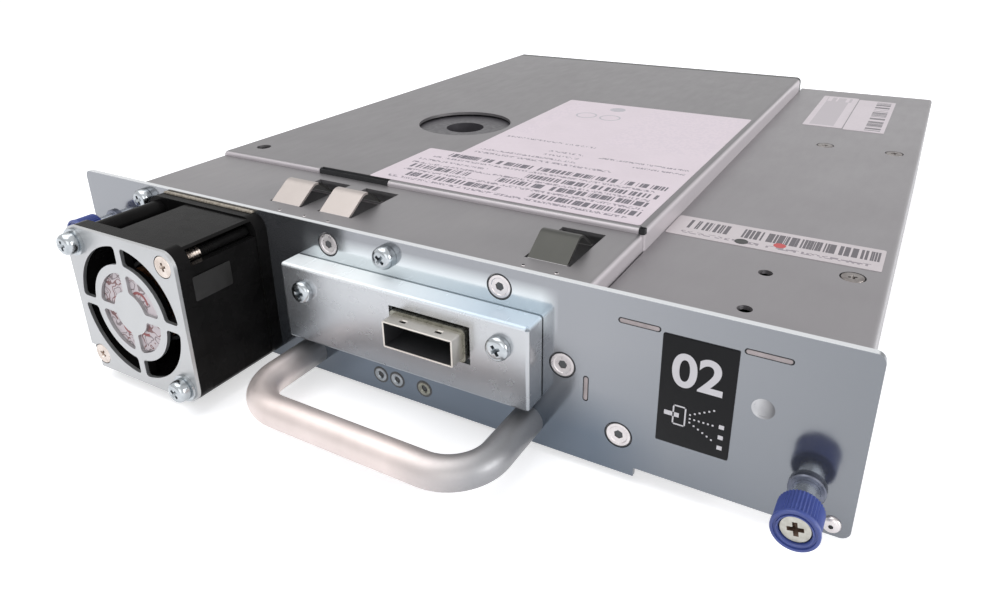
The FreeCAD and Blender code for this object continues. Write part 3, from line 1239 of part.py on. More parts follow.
PLATE = "boss_top + 2 * slide_gap"
clutch = Piece("cartridge_clutch", "drive_middle", "clutch_y", "0")
clutch.turned("XZ", [("spindle / 2 + bearing_gap", PLATE), ("clutch_outside / 2", PLATE),
                     ("clutch_outside / 2", "tray_rise - 3 * slide_gap - reel_flange"),
                     ("spindle / 2 + bearing_gap", "tray_rise - 3 * slide_gap - reel_flange")])
tooth = clutch.pad("XY", "tray_rise - 3 * slide_gap - reel_flange", "up", "reel_flange",
                   block("clutch_outside / 2 - 4 * reel_flange", "-reel_flange / 2",
                         "clutch_outside / 2 - reel_flange", "reel_flange / 2"))
clutch.repeat([tooth], "Z", "clutch_teeth")
clutch_spindle = Piece("clutch_spindle", "drive_middle", "clutch_y", "0")
clutch_spindle.turned("XZ", [("0", "boss_top"), ("boss_outside / 2", "boss_top"),
                             ("boss_outside / 2", "boss_top + slide_gap"),
                             ("spindle / 2", "boss_top + slide_gap"),
                             ("spindle / 2", "tray_rise - 4 * slide_gap"),
                             ("0", "tray_rise - 4 * slide_gap")])

tray = Piece("cartridge_tray")
tray.pad("XY", "tray_rise", "up", "tray_height",
         block("drive_middle - tray_half", "tray_back", "drive_middle + tray_half", "tray_front"))
tray.cut("XY", "tray_rise + tray_height", "down", "tray_height - tray_sheet",
         block("drive_middle - tray_width / 2", "tray_back + tray_sheet",
               "drive_middle + tray_width / 2", "drive_front"))
tray.pad("XY", "tray_rise", "up", "tray_sheet",
         block("drive_middle - tray_half - tray_lip", "tray_back",
               "drive_middle + tray_half + tray_lip", "tray_front"))
tray.cut("XY", "tray_rise + tray_sheet", "down", "tray_sheet",
         disc("drive_middle", "clutch_y", "clutch_outside + 4 * tray_lip"))

ROLLER_PLACES = [("drive_right - roller_front_inset", "reel_y + roller_front_reach"),
                 ("drive_right - roller_near_inset", "reel_y + roller_near_reach"),
                 ("drive_right - roller_near_inset", "reel_y - roller_near_reach"),
                 ("drive_right - roller_rear_inset", "reel_y - roller_rear_reach")]
ROLLER_TOP = "roller_foot + roller_height"

pin_pattern = Piece("guide_pin_pattern", keep=False)
pin_pattern.turned("XZ",
                   [("0", "floor_top"), ("roller_pin", "floor_top"),
                    ("roller_pin", "roller_foot - slide_gap"),
                          ("roller_pin / 2", "roller_foot - slide_gap"),
                          ("roller_pin / 2", f"{ROLLER_TOP} + roller_pin"),
                          ("0", f"{ROLLER_TOP} + roller_pin")])
group("guide_pins", pin_pattern.body, [(x, y, "0") for x, y in ROLLER_PLACES])
BORE = "roller_pin / 2 + bearing_gap"
for number, (x, y) in enumerate(ROLLER_PLACES, start=1):
    roller = Piece(f"guide_roller_{number}", x, y, "0")
    roller.turned("XZ", [(BORE, "roller_foot"), ("roller_outside / 2", "roller_foot"),
                         ("roller_outside / 2", "roller_foot + roller_flange"),
                         ("roller_core / 2", "roller_foot + roller_flange"),
                         ("roller_core / 2", f"{ROLLER_TOP} - roller_flange"),
                         ("roller_outside / 2", f"{ROLLER_TOP} - roller_flange"),
                         ("roller_outside / 2", ROLLER_TOP), (BORE, ROLLER_TOP)])

HEAD_FOOT = "roller_foot + head_travel / 5"
ROD_Y = "(head_length / 2 - head_rod)"
head = Piece("tape_head", "head_x", "head_y", "0")
head.pad("XY", HEAD_FOOT, "up", "head_height",
         block("-head_width / 2", "-head_length / 2", "head_width / 2", "head_length / 2"))
head.round("head_width / 4", "z",
           [{"x": "-head_width / 2", "y": f"{sign}head_length / 2"} for sign in "+-"])


def head_bores(sketch):
    for sign in "+-":
        circle(sketch, "head_width / 8", f"{sign}{ROD_Y}", "head_rod + 2 * bearing_gap")


head.cut("XY", HEAD_FOOT, "up", "head_height", head_bores)
rod_pattern = Piece("head_rod_pattern", keep=False)
rod_pattern.pad("XY", "floor_top", "up", "lid_under - floor_top - slide_gap",
                disc("head_width / 8", "0", "head_rod"))
group("head_rods", rod_pattern.body, [("head_x", f"head_y {sign} {ROD_Y}", "0") for sign in "+-"])

# ---------------------------------------------------------------- rear bracket with spring fingers

FINGER_EDGES = ["bracket_left + finger_near", "bracket_left + finger_near + finger_pitch",
                "bracket_right - finger_far - finger_width"]
bracket = Piece("rear_bracket")
bracket.pad("XY", "bracket_bottom", "up", "bracket_top - bracket_bottom",
            block("bracket_left", "panel_sheet", "bracket_right", "drive_rear"))
bracket.round("bracket_bend", "y",
              [{"x": "bracket_right", "z": "bracket_top"}, {"x": "bracket_left", "z": "bracket_top"}])
bracket.cut("XY", "bracket_bottom", "up", "bracket_top - bracket_bottom - bracket_sheet",
            block("bracket_left + bracket_sheet", "panel_sheet + bracket_sheet",
                  "bracket_right - bracket_sheet", "drive_rear - bracket_sheet"))


def bracket_windows(sketch):
    """Air opening for the fan, opening for the interface board, room for the handle's screws."""
    rectangle(sketch, "fan_x - fan_window / 2", "bracket_bottom - bracket_sheet",
              "fan_x + fan_window / 2", "bracket_top - 2 * bracket_sheet")
    rectangle(sketch, "carrier_left + part_gap", "panel_port_bottom - part_gap",
              "carrier_right - part_gap", "cover_top - cover_sheet")
    for leg in ("leg_left", "leg_right"):
        circle(sketch, leg, "handle_z", "pan_head + 8 * part_gap")
    for x, z in RIVET_PLACES:
        circle(sketch, x, z, "rivet_head + 2 * part_gap")


bracket.cut("XZ", "panel_sheet", "in", "bracket_sheet", bracket_windows)
bracket.cut("XZ", "drive_rear", "out", "bracket_sheet",
            block("bracket_left + bracket_length / 2", "bracket_bottom - bracket_sheet",
                  "bracket_right - bracket_length / 2",
                  "bracket_top - bracket_drop - 4 * bracket_sheet"))
bracket.cut("XZ", "panel_sheet", "in", "bracket_length / 2",
            block("bracket_left - bracket_sheet", "thumb_left_z - collar_outside",
                  "bracket_left + 2 * bracket_sheet", "thumb_left_z + collar_outside"))
for left_edge in FINGER_EDGES:
    bracket.cut("XY", "bracket_top", "down", "bracket_sheet",
                block(f"{left_edge} - finger_slit", "panel_sheet + finger_root",
                      f"{left_edge} + finger_width + finger_slit",
                      "panel_sheet + finger_root + finger_window"))


def finger_bend(radius):
    """Where the ramp and the slope behind it meet, for the outer or inner side's bend radius."""
    turn = "sin((finger_ramp + finger_fall) * 1 deg)"
    along = f"({radius}) * (cos(finger_ramp * 1 deg) - cos(finger_fall * 1 deg)) / {turn}"
    up = f"({radius}) * (sin(finger_ramp * 1 deg) + sin(finger_fall * 1 deg)) / {turn}"
    return f"finger_start + finger_axis_y + {along}", f"bracket_top + finger_axis_z + {up}"


def finger_foot(radius):
    """Where one side of the ramp starts, inside the sheet."""
    lean = f"(({radius}) - (finger_bed + finger_axis_y) * sin(finger_ramp * 1 deg))"
    return ("finger_start - finger_bed",
            f"bracket_top + finger_axis_z + {lean} / cos(finger_ramp * 1 deg)")


def finger_end(radius):
    """Where one side of the slope ends, at the finger's tip."""
    drop = "(finger_tip + finger_axis_z) * cos(finger_fall * 1 deg)"
    return (f"finger_start + finger_axis_y + (({radius}) + {drop}) / sin(finger_fall * 1 deg)",
            "bracket_top - finger_tip")


FINGER_SIDES = ("finger_bend", "finger_bend - finger_sheet")


def finger_profile(sketch):
    outer, inner = FINGER_SIDES
    outline(sketch, [finger_foot(outer), finger_bend(outer), finger_end(outer),
                     finger_end(inner), finger_bend(inner), finger_foot(inner)])


for left_edge in FINGER_EDGES:
    bracket.pad("YZ", left_edge, "right", "finger_width", finger_profile)
for side in FINGER_SIDES:
    bend_y, bend_z = finger_bend(side)
    bracket.round(side, "x", [{"y": bend_y, "z": bend_z}])

# ---------------------------------------------------------------- side compartment

WING_SCREW_PLACES = [("wing_right - wing_screw_inset", "wing_screw_near"),
                     ("wing_right - wing_screw_inset", "wing_screw_far"),
                     ("wing_left + wing_width * wing_screw_share", "wing_screw_far")]
WING_HOLE_PLACES = [("wing_left + wing_width * wing_hole_share", "wing_hole_near"),
                    ("wing_left + wing_width * wing_hole_share", "wing_hole_near + wing_hole_pitch")]


def post_room(piece):
    """Opening at the panel end for the library's post that takes the right thumbscrew."""
    piece.cut("XZ", "panel_sheet", "in", "post_depth",
              block("thumb_right_x - post_clearance", "wing_bottom - wing_sheet",
                    "wing_right + wing_sheet", "thumb_right_z + post_clearance"))


wing_cover = Piece("wing_cover")
wing_cover.pad("XY", "wing_bottom", "up", "wing_height",
               block("wing_left", "panel_sheet", "wing_right", "wing_end"))
wing_cover.round("wing_bend", "y", [{"x": "wing_right", "z": "wing_top"}])
wing_cover.cut("XY", "wing_bottom", "up", "wing_height - wing_sheet",
               block("wing_left - wing_sheet", "panel_sheet + wing_sheet", "wing_right - wing_sheet",
                     "wing_end - wing_sheet"))


def wing_top_holes(sketch):
    for x, y in WING_HOLE_PLACES:
        circle(sketch, x, y, "wing_hole")
    for x, y in WING_SCREW_PLACES:
        circle(sketch, x, y, "sink_head + 2 * part_gap")


wing_cover.cut("XY", "wing_top", "down", "wing_sheet", wing_top_holes)
wing_cover.cut("XZ", "wing_end", "out", "wing_sheet",
               block("dock_x - dock_width / 2 - part_gap", "wing_board_z + board_sheet - part_gap",
                     "dock_x + dock_width / 2 + part_gap",
                     "wing_board_z + board_sheet + dock_height + part_gap"))
post_room(wing_cover)

wing_base = Piece("wing_base")
wing_base.pad("XY", "wing_bottom", "up", "wing_sheet",
              block("wing_left", "panel_sheet + wing_sheet", "wing_right - wing_sheet",
                    "wing_end - wing_sheet"))
wing_base.pad("XY", "wing_bottom", "up", "wing_height - wing_sheet",
              block("wing_left", "panel_sheet + wing_sheet", "wing_left + wing_sheet",
                    "wing_end - wing_sheet"))


wing_base.cut("YZ", "wing_left", "right", "wing_sheet", side_holes(SLED_HOLES))
post_room(wing_base)

post_pattern = Piece("wing_post_pattern", keep=False)
post_pattern.turned("XZ",
                    [("screw_shank / 2 + screw_gap", "wing_floor"), ("wing_post / 2", "wing_floor"),
                           ("wing_post / 2", "wing_under"),
                           ("screw_shank / 2 + screw_gap", "wing_under")])
group("wing_posts", post_pattern.body, [(x, y, "0") for x, y in WING_SCREW_PLACES])
group("wing_screws", sink_screw("wing_screw_pattern", "wing_screw_length"),
      [(x, y, "wing_top") for x, y in WING_SCREW_PLACES], turn=FACE_UP)
group("drive_side_screws",
      pan_screw("side_screw_pattern", "wing_sheet + base_wall", "cover_head_height"),
      [("wing_left + wing_sheet", y, z) for y, z in SLED_HOLES], turn=FACE_RIGHT)

SPACER_PLACES = [(x, y) for x in ("wing_left + 2.5 * wing_board_margin",
                                  "wing_right - 2.5 * wing_board_margin")
                 for y in ("panel_sheet + post_depth + 3 * wing_board_margin",
                           "wing_end - 6 * wing_board_margin")]
wing_board = Piece("wing_board")
wing_board.pad("XY", "wing_board_z", "up", "board_sheet",
               block("wing_left + wing_board_margin", "panel_sheet + post_depth + wing_board_margin",
                     "wing_right - wing_board_margin", "wing_end - wing_sheet - part_gap"))


def board_holes(sketch):
    for x, y in WING_SCREW_PLACES:
        circle(sketch, x, y, "wing_post + 4 * part_gap")


wing_board.cut("XY", "wing_board_z", "up", "board_sheet", board_holes)
spacer_pattern = Piece("board_spacer_pattern", keep=False)
spacer_pattern.pad("XY", "wing_floor", "up", "wing_board_rise", disc("0", "0", "wing_post"))
group("board_spacers", spacer_pattern.body, [(x, y, "0") for x, y in SPACER_PLACES])

dock = Piece("docking_connector")
DOCK_BOTTOM = "wing_board_z + board_sheet"
dock.pad("XZ", "wing_end", "out", "dock_length",
         block("dock_x - dock_width / 2", DOCK_BOTTOM, "dock_x + dock_width / 2",
               f"{DOCK_BOTTOM} + dock_height"))
dock.cut("XZ", "wing_end", "out", "dock_mouth_depth",
         block("dock_x - dock_mouth_width / 2",
               f"{DOCK_BOTTOM} + dock_height / 2 - dock_mouth_height / 2",
               "dock_x + dock_mouth_width / 2",
               f"{DOCK_BOTTOM} + dock_height / 2 + dock_mouth_height / 2"))

# ---------------------------------------------------------------- checks and files

doc.recompute()
faults = [f"{thing.Name}: {state}" for thing in doc.Objects for state in thing.State
          if state in ("Invalid", "Error")]
for thing in doc.Objects:
    if thing.TypeId in ("PartDesign::Pocket", "PartDesign::Groove"):
        if thing.Shape.Volume > thing.BaseFeature.Shape.Volume - 1e-3:
            faults.append(f"{thing.Name}: cuts nothing")
for part in parts:
    if part.Shape.isNull() or not part.Shape.isValid():
        faults.append(f"{part.Label}: shape is null or not valid")
if faults:
    raise RuntimeError("\n".join(faults))

os.makedirs("parts", exist_ok=True)
for part in parts:
    part.Shape.exportStep(f"parts/{part.Label}.step")
print(len(parts), "sub-parts written")
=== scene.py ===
import bmesh
import bpy
import math
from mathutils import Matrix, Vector


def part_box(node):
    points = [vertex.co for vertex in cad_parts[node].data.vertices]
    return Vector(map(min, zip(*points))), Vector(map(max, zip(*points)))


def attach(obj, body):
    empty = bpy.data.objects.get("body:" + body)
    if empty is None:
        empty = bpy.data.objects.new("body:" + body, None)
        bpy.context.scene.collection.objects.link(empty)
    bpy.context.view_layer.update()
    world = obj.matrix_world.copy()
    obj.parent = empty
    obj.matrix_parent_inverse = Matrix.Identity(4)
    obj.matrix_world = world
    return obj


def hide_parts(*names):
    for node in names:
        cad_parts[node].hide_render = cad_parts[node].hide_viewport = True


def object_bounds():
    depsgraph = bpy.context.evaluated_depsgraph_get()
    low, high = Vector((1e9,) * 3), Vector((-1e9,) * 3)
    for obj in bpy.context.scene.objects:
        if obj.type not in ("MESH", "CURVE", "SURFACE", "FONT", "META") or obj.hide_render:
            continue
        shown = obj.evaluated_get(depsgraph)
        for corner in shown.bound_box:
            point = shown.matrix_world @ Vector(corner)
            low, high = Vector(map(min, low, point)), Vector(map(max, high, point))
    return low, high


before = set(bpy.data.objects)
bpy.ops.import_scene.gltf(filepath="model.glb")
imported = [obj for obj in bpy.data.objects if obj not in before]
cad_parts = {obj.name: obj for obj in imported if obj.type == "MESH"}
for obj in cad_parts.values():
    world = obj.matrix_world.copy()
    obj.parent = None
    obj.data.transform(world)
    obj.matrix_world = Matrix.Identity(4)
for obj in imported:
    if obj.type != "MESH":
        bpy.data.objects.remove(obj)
cad_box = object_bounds()
MM = 0.001

# Camera: low in front of the sled's cable end and a little to its right, looking down along the
# drive. The shift keeps the sled in the middle of the frame.
camera = bpy.data.objects.new("camera", bpy.data.cameras.new("camera"))
bpy.context.scene.collection.objects.link(camera)
camera.location = (0.1065, -0.2360, 0.1124)
camera.rotation_euler = (math.radians(67.27), math.radians(0.63), math.radians(29.53))
camera.data.sensor_width = 36
camera.data.lens = 27.58
camera.data.shift_x = -0.0051
camera.data.shift_y = -0.0672
camera.data.clip_start = 0.01
bpy.context.scene.camera = camera

# Drive base and head block: aluminium die castings, shot-blasted all over and left as cast.
# The base carries the reel motor, the guide pins and the main board.


def add_node(tree, kind, inputs=None, **settings):
    """A shader node with its settings. An input takes a value or the socket that feeds it."""
    node = tree.nodes.new("ShaderNode" + kind)
    for setting, value in settings.items():
        setattr(node, setting, value)
    for socket, value in (inputs or {}).items():
        if isinstance(value, bpy.types.NodeSocket):
            tree.links.new(value, node.inputs[socket])
        else:
            node.inputs[socket].default_value = value
    return node


def shader_of(material):
    """The one shader of a material."""
    return material.node_tree.nodes["Principled BSDF"]


def pattern(tree, scale, kind="Noise", stretch=(1, 1, 1), detail=3.0):
    """A noise or cell texture in the object's own metres, stretched along the grain."""
    place = add_node(tree, "TexCoord").outputs["Object"]
    grain = add_node(tree, "Mapping", {"Vector": place, "Scale": stretch})
    texture = add_node(tree, "Tex" + kind, {"Vector": grain.outputs["Vector"], "Scale": scale})
    if kind == "Noise":
        texture.inputs["Detail"].default_value = detail
    return texture.outputs[0]


def tones(material, value, *stops, sharp=False):
    """Colour a material by a value from 0 to 1: each stop is a place on that scale and a tone."""
    tree = material.node_tree
    ramp = add_node(tree, "ValToRGB", {"Fac": value})
    ramp.color_ramp.interpolation = "CONSTANT" if sharp else "LINEAR"
    for position, _ in stops[2:]:
        ramp.color_ramp.elements.new(position)
    for element, (position, tone) in zip(ramp.color_ramp.elements, stops):
        element.position = position
        element.color = (*tone, 1)
    tree.links.new(ramp.outputs["Color"], shader_of(material).inputs["Base Color"])


def coat(name, colour, metallic, roughness, bumps=None):
    """A material. Its colour is a tone, or a pattern and two tones; its roughness is a value, or a
    pattern and two values; its bumps are a pattern, a height in millimetres and a strength. A
    pattern is the scale of a noise, or a dict of settings."""
    material = bpy.data.materials.new(name)
    material.use_nodes = True
    tree, shader = material.node_tree, shader_of(material)
    low, high = 0.3, 0.7

    def texture(settings):
        return pattern(tree, **settings) if isinstance(settings, dict) else pattern(tree, settings)

    cloudy = isinstance(colour[1], tuple)
    shader.inputs["Base Color"].default_value = (*(colour[2] if cloudy else colour), 1)
    if cloudy:
        tones(material, texture(colour[0]), (low, colour[1]), (high, colour[2]))
    shader.inputs["Metallic"].default_value = metallic
    patchy = isinstance(roughness, tuple)
    shader.inputs["Roughness"].default_value = roughness[2] if patchy else roughness
    if patchy:
        span = add_node(tree, "MapRange", {"Value": texture(roughness[0]), "From Min": low, "From Max": high,
                                           "To Min": roughness[1], "To Max": roughness[2]})
        tree.links.new(span.outputs["Result"], shader.inputs["Roughness"])
    if bumps:
        settings, height, strength = bumps
        bump = add_node(tree, "Bump", {"Height": texture(settings), "Distance": height * MM,
                                       "Strength": strength})
        tree.links.new(bump.outputs["Normal"], shader.inputs["Normal"])
    return material


def finish_nodes(material, *names):
    """Give CAD nodes their material."""
    for name in names:
        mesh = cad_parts[name].data
        mesh.materials.clear()
        mesh.materials.append(material)


cast = coat("die_cast_aluminium", (60, (0.32, 0.33, 0.34), (0.38, 0.39, 0.40)), 0.8, (700, 0.42, 0.6),
            (dict(kind="Voronoi", scale=1800), 0.06, 0.4))
finish_nodes(cast, "drive_base", "tape_head")

# Boards: glass-fibre laminate with a green coat, one under the base's floor, one behind the
# interface cover and one on spacers in the side compartment.
board = coat("circuit_board", (dict(kind="Voronoi", scale=350), (0.012, 0.08, 0.035), (0.03, 0.15, 0.06)),
             0.0, 0.35, (dict(kind="Voronoi", scale=700), 0.05, 0.4))
finish_nodes(board, "main_board", "interface_board", "wing_board")

# Motors: enamelled copper wound on laminated cores, under the reel and in the fan.
# The varnish leaves the turns slightly uneven.
windings = coat("motor_windings", (1200, (0.22, 0.08, 0.03), (0.45, 0.2, 0.09)), 0.6, 0.45, (2000, 0.1, 0.5))
finish_nodes(windings, "reel_motor", "fan_stator")

# Spindles, guide pins, head rods and the fan's shaft: steel, turned between centres and ground.
# The cartridge clutch and the guide rollers, which turn on them, are finished the same way.
ground = coat("ground_steel", (0.55, 0.55, 0.56), 1.0, (dict(scale=1500, stretch=(1, 1, 0.1)), 0.18, 0.34),
              (dict(scale=3000, stretch=(1, 1, 0.1)), 0.01, 0.3))
finish_nodes(ground, "reel_spindle", "clutch_spindle", "cartridge_clutch", "guide_pins", "head_rods",
             "fan_shaft", *[f"guide_roller_{number}" for number in range(1, 5)])

# Take-up reel: a dark grey moulding that turns on its spindle, under the round opening of the
# top cover.
reel_grey = coat("reel_moulding", (0.050, 0.047, 0.053), 0.0, (600, 0.34, 0.5), (2500, 0.03, 0.3))
finish_nodes(reel_grey, "takeup_reel")

# Bezel, docking connector, port tongue and board spacers: matt dark mouldings from lightly
# eroded tools, each held between its neighbours.
moulding = coat("dark_moulding", (0.03, 0.03, 0.032), 0.0, (500, 0.42, 0.58), (3000, 0.04, 0.4))
finish_nodes(moulding, "front_bezel", "docking_connector", "port_tongue", "board_spacers")

# Drive covers: a pan above and a folded sheet below, galvanised and matt grey with soft clouds, a
# fine grain and faint rolling marks along the drive. The top cover's rear and right edges carry a
# painted highlight where the folds catch the light.


def sheet_steel(name, light, metallic, smooth, rough, dark=None):
    """Plated or galvanised sheet: fine grain, faint rolling marks along Y and, where a dark tone
    is given, soft clouds."""
    colour = (dict(scale=40, detail=2), dark, light) if dark else light
    rolled = dict(scale=350, stretch=(1, 0.3, 1))
    return coat(name, colour, metallic, (rolled, smooth, rough), (1400, 0.01, 0.05))


def share_along(tree, axis, low, high):
    """0 to 1 from one place on an axis to another, in millimetres, either way round."""
    place = add_node(tree, "TexCoord").outputs["Object"]
    apart = add_node(tree, "SeparateXYZ", {0: place})
    share = add_node(tree, "MapRange", {"Value": apart.outputs[axis], "From Min": low * MM,
                                        "From Max": high * MM})
    return share.outputs["Result"]


def retone_zones(material, tone, *zones, joined="MULTIPLY", metallic=None):
    """Blend the coat to another tone where the zones meet, or over all of them with MAXIMUM; most
    calls lay painted highlights, shade and reflections this way. A zone is an axis and the places
    where it starts and is full. It may be less metallic there."""
    tree, shader = material.node_tree, shader_of(material)
    share = share_along(tree, *zones[0])
    for zone in zones[1:]:
        share = add_node(tree, "Math", {0: share, 1: share_along(tree, *zone)}, operation=joined).outputs[0]
    coated = shader.inputs["Base Color"].links[0].from_socket
    blend = add_node(tree, "Mix", {"Factor": share, "A": coated, "B": (*tone, 1)}, data_type="RGBA")
    tree.links.new(blend.outputs["Result"], shader.inputs["Base Color"])
    if metallic is not None:
        plated = shader.inputs["Metallic"].default_value
        lustre = add_node(tree, "MapRange", {"Value": share, "To Min": plated, "To Max": metallic})
        tree.links.new(lustre.outputs["Result"], shader.inputs["Metallic"])


galvanised = sheet_steel("galvanised_sheet", (0.208, 0.2, 0.206), 0.72, 0.40, 0.45, dark=(0.19, 0.182, 0.188))
finish_nodes(galvanised, "drive_bottom_cover", "wing_base")
lid_sheet = sheet_steel("lid_sheet", (0.208, 0.2, 0.206), 0.72, 0.40, 0.45, dark=(0.19, 0.182, 0.188))
painted_edge_highlight = (0.55, 0.51, 0.53)
# Painted highlight on the top cover's rear and right edges, less metallic there.
retone_zones(lid_sheet, painted_edge_highlight, ("X", 50.0, 50.5), ("Y", -69.9, -70.2), joined="MAXIMUM", metallic=0.35)
finish_nodes(lid_sheet, "drive_top_cover")

# Data label on the drive's top cover: an L-shaped sheet of coated paper, 0.1 mm thick, pressed on
# by hand. It carries plain bar and dash blocks, and printed discs and rings.
label_sheet, ink_film = 0.1, 0.02
ink_sheen = (700, 0.42, 0.55)
paper_grain = (2500, 0.01, 0.2)


def begin(name):
    """Name the primitive just added, apply its place and open it with nothing selected."""
    piece = bpy.context.object
    piece.name = piece.data.name = name
    bpy.ops.object.transform_apply(location=True, rotation=True, scale=True)
    bpy.ops.object.mode_set(mode="EDIT")
    bpy.ops.mesh.select_all(action="DESELECT")
    return piece


def pick(piece, kind, test):
    """In edit mode, select only the vertices, edges or faces whose middle passes the test."""
    bpy.ops.mesh.select_mode(type={"verts": "VERT", "edges": "EDGE", "faces": "FACE"}[kind])
    bpy.ops.mesh.select_all(action="DESELECT")
    shape = bmesh.from_edit_mesh(piece.data)
    for part in getattr(shape, kind):
        corners = [part] if kind == "verts" else part.verts
        middle = sum((corner.co for corner in corners), Vector()) / len(corners)
        if test(part, middle / MM):
            part.select_set(True)
    bmesh.update_edit_mesh(piece.data)


def end(piece, material, slot, body, *replaced, angle=35):
    """Close the piece: outward normals, smooth shading, its material and body. The slot is not used."""
    if bpy.context.mode == "EDIT_MESH":
        bpy.ops.mesh.select_all(action="SELECT")
        bpy.ops.mesh.normals_make_consistent(inside=False)
        bpy.ops.object.mode_set(mode="OBJECT")
    bpy.ops.object.shade_smooth_by_angle(angle=math.radians(angle))
    if material:
        piece.data.materials.append(material)
    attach(piece, body)
    for node in replaced:
        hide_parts(node)
    bpy.ops.object.select_all(action="DESELECT")


def split(axis, places):
    """In edit mode, cut the whole piece across X (0) or Y (1) at each place, in millimetres."""
    normal = Vector((0, 0, 0))
    normal[axis] = 1
    for place in places:
        bpy.ops.mesh.select_all(action="SELECT")
        bpy.ops.mesh.bisect(plane_co=normal * place * MM, plane_no=normal, threshold=1e-7)


def sticker(name, left, right, near, far, top, corner, paper, prints, cut_away=None):
    """A thin label with rounded corners. Each print is a material and the areas that it fills,
    and the corner of an L-shaped label's cut-away is given by its x and y."""
    bpy.ops.object.select_all(action="DESELECT")
    middle = Vector(((left + right) / 2, (near + far) / 2, top))
    bpy.ops.mesh.primitive_plane_add(size=1, location=middle * MM)
    bpy.context.object.scale = ((right - left) * MM, (far - near) * MM, 1)
    label = begin(name)
    if cut_away:
        for axis in (0, 1):
            split(axis, [cut_away[axis]])
        pick(label, "faces", lambda face, middle: middle.x < cut_away[0] and middle.y > cut_away[1])
        bpy.ops.mesh.delete(type="FACE")
        bpy.ops.mesh.select_all(action="SELECT")
        bpy.ops.mesh.dissolve_limited(angle_limit=0.01)
    pick(label, "verts", lambda vertex, middle: True)
    bpy.ops.mesh.bevel(affect="VERTICES", offset=corner * MM, segments=4)
    areas = [area for _, filled in prints for area in filled]
    split(0, sorted({place for area in areas for place in area[:2]}))
    split(1, sorted({place for area in areas for place in area[2:]}))
    bpy.ops.object.mode_set(mode="OBJECT")
    label.data.materials.append(paper)
    for index, (ink, filled) in enumerate(prints, 1):
        label.data.materials.append(ink)
        for face in label.data.polygons:
            x, y = face.center.x / MM, face.center.y / MM
            if any(x0 < x < x1 and y0 < y < y1 for x0, x1, y0, y1 in filled):
                face.material_index = index
    thick = label.modifiers.new("sheet", "SOLIDIFY")
    thick.thickness = label_sheet * MM
    thick.offset = 1.0
    bpy.ops.object.modifier_apply(modifier="sheet")
    end(label, None, "insulator", "sled")


def cells(tree, across, along):
    """The place on a label, counted in cells of a size in millimetres."""
    place = add_node(tree, "TexCoord").outputs["Object"]
    counts = (1 / (across * MM), 1 / (along * MM), 0)
    start = (0, 2 / 7, 0)
    cell = add_node(tree, "VectorMath", {0: place, 1: counts, 2: start}, operation="MULTIPLY_ADD")
    return cell.outputs[0]


def printed(name, paper, ink, across, along, share):
    """Coated paper with ink in random cells of a size in millimetres."""
    material = coat(name, paper, 0.0, 0.5, paper_grain)
    tree = material.node_tree
    whole = add_node(tree, "VectorMath", {0: cells(tree, across, along)}, operation="FLOOR")
    chance = add_node(tree, "TexWhiteNoise", {"Vector": whole.outputs[0]})
    tones(material, chance.outputs[0], (0.0, ink), (share, paper), sharp=True)
    return material


def barred(name, paper, ink, bar, row, upright=True):
    """Coated paper with bars of varied width and spacing along each row, and each row different."""
    material = coat(name, paper, 0.0, 0.5, paper_grain)
    tree = material.node_tree
    size = (bar, row) if upright else (row, bar)
    apart = add_node(tree, "SeparateXYZ", {0: cells(tree, *size)})
    along, across = ("X", "Y") if upright else ("Y", "X")
    row_number = add_node(tree, "Math", {0: apart.outputs[across]}, operation="FLOOR")
    row_seed = add_node(tree, "Math", {0: row_number.outputs[0], 1: 5.37}, operation="MULTIPLY")
    again = add_node(tree, "CombineXYZ", {"X": apart.outputs[along], "Y": row_seed.outputs[0]})
    spacing = add_node(tree, "TexVoronoi", {"Vector": again.outputs[0], "Scale": 1}, voronoi_dimensions="2D")
    tones(material, spacing.outputs[0], (0.0, ink), (0.47, paper), sharp=True)
    return material


def paper_stock(name, colour):
    """Plain coated paper, faintly mottled."""
    darker = tuple(tone * 0.95 for tone in colour)
    return coat(name, (90, darker, colour), 0.0, ink_sheen, paper_grain)


def lines(*rows):
    """Areas of printed lines, each given by its two ends, its middle and how tall it is."""
    return [(start, stop, y - tall / 2, y + tall / 2) for start, stop, y, tall in rows]


drive_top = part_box("drive_top_cover")[1].z / MM
drive_paper = (0.65, 0.565, 0.607)
bars = lines((-26.3, 4.7, -61.75, 3.4), (14.7, 46.2, -61.75, 3.4), (-30.3, -9.3, -54.45, 3.4),
             (0.2, 46.2, -54.45, 3.4), (6.2, 46.2, -47.75, 3.4), (-25.3, 46.2, -40.25, 3.4))
dashes = lines((-31, 44, -65.5, 1.5), (-30, 46, -58.2, 1.5), (-32, 45, -51.3, 1.5), (-30, 44, -44, 1.5),
               (-32, -7, -47.75, 1.4), (-20.3, 26.7, -33.2, 1.7), (-20.3, 13.7, -29.7, 1.5),
               (0.7, 12.7, -25.7, 1.4), (30.7, 46.7, -25.7, 1.4), (0.7, 12.7, -21.7, 1.4),
               (17.7, 46.7, -21.7, 1.4), (-20.3, 12.7, -12.2, 1.5))
faint = [(-20, -14, -6, 46), (12.7, 46.7, -6, 46)]
sticker("drive_label", -35.3, 48.8, -68.75, 47.75, drive_top, 0.8, paper_stock("label_paper", drive_paper),
        [(barred("label_bars", drive_paper, (0.10, 0.09, 0.11), 0.72, 7.0), bars),
         (printed("label_dashes", drive_paper, (0.24, 0.21, 0.24), 0.4, 0.6, 0.5), dashes),
         (printed("label_faint", drive_paper, (0.62, 0.54, 0.585), 0.8, 1.0, 0.45), faint)],
        cut_away=(-23.8, -36.75))


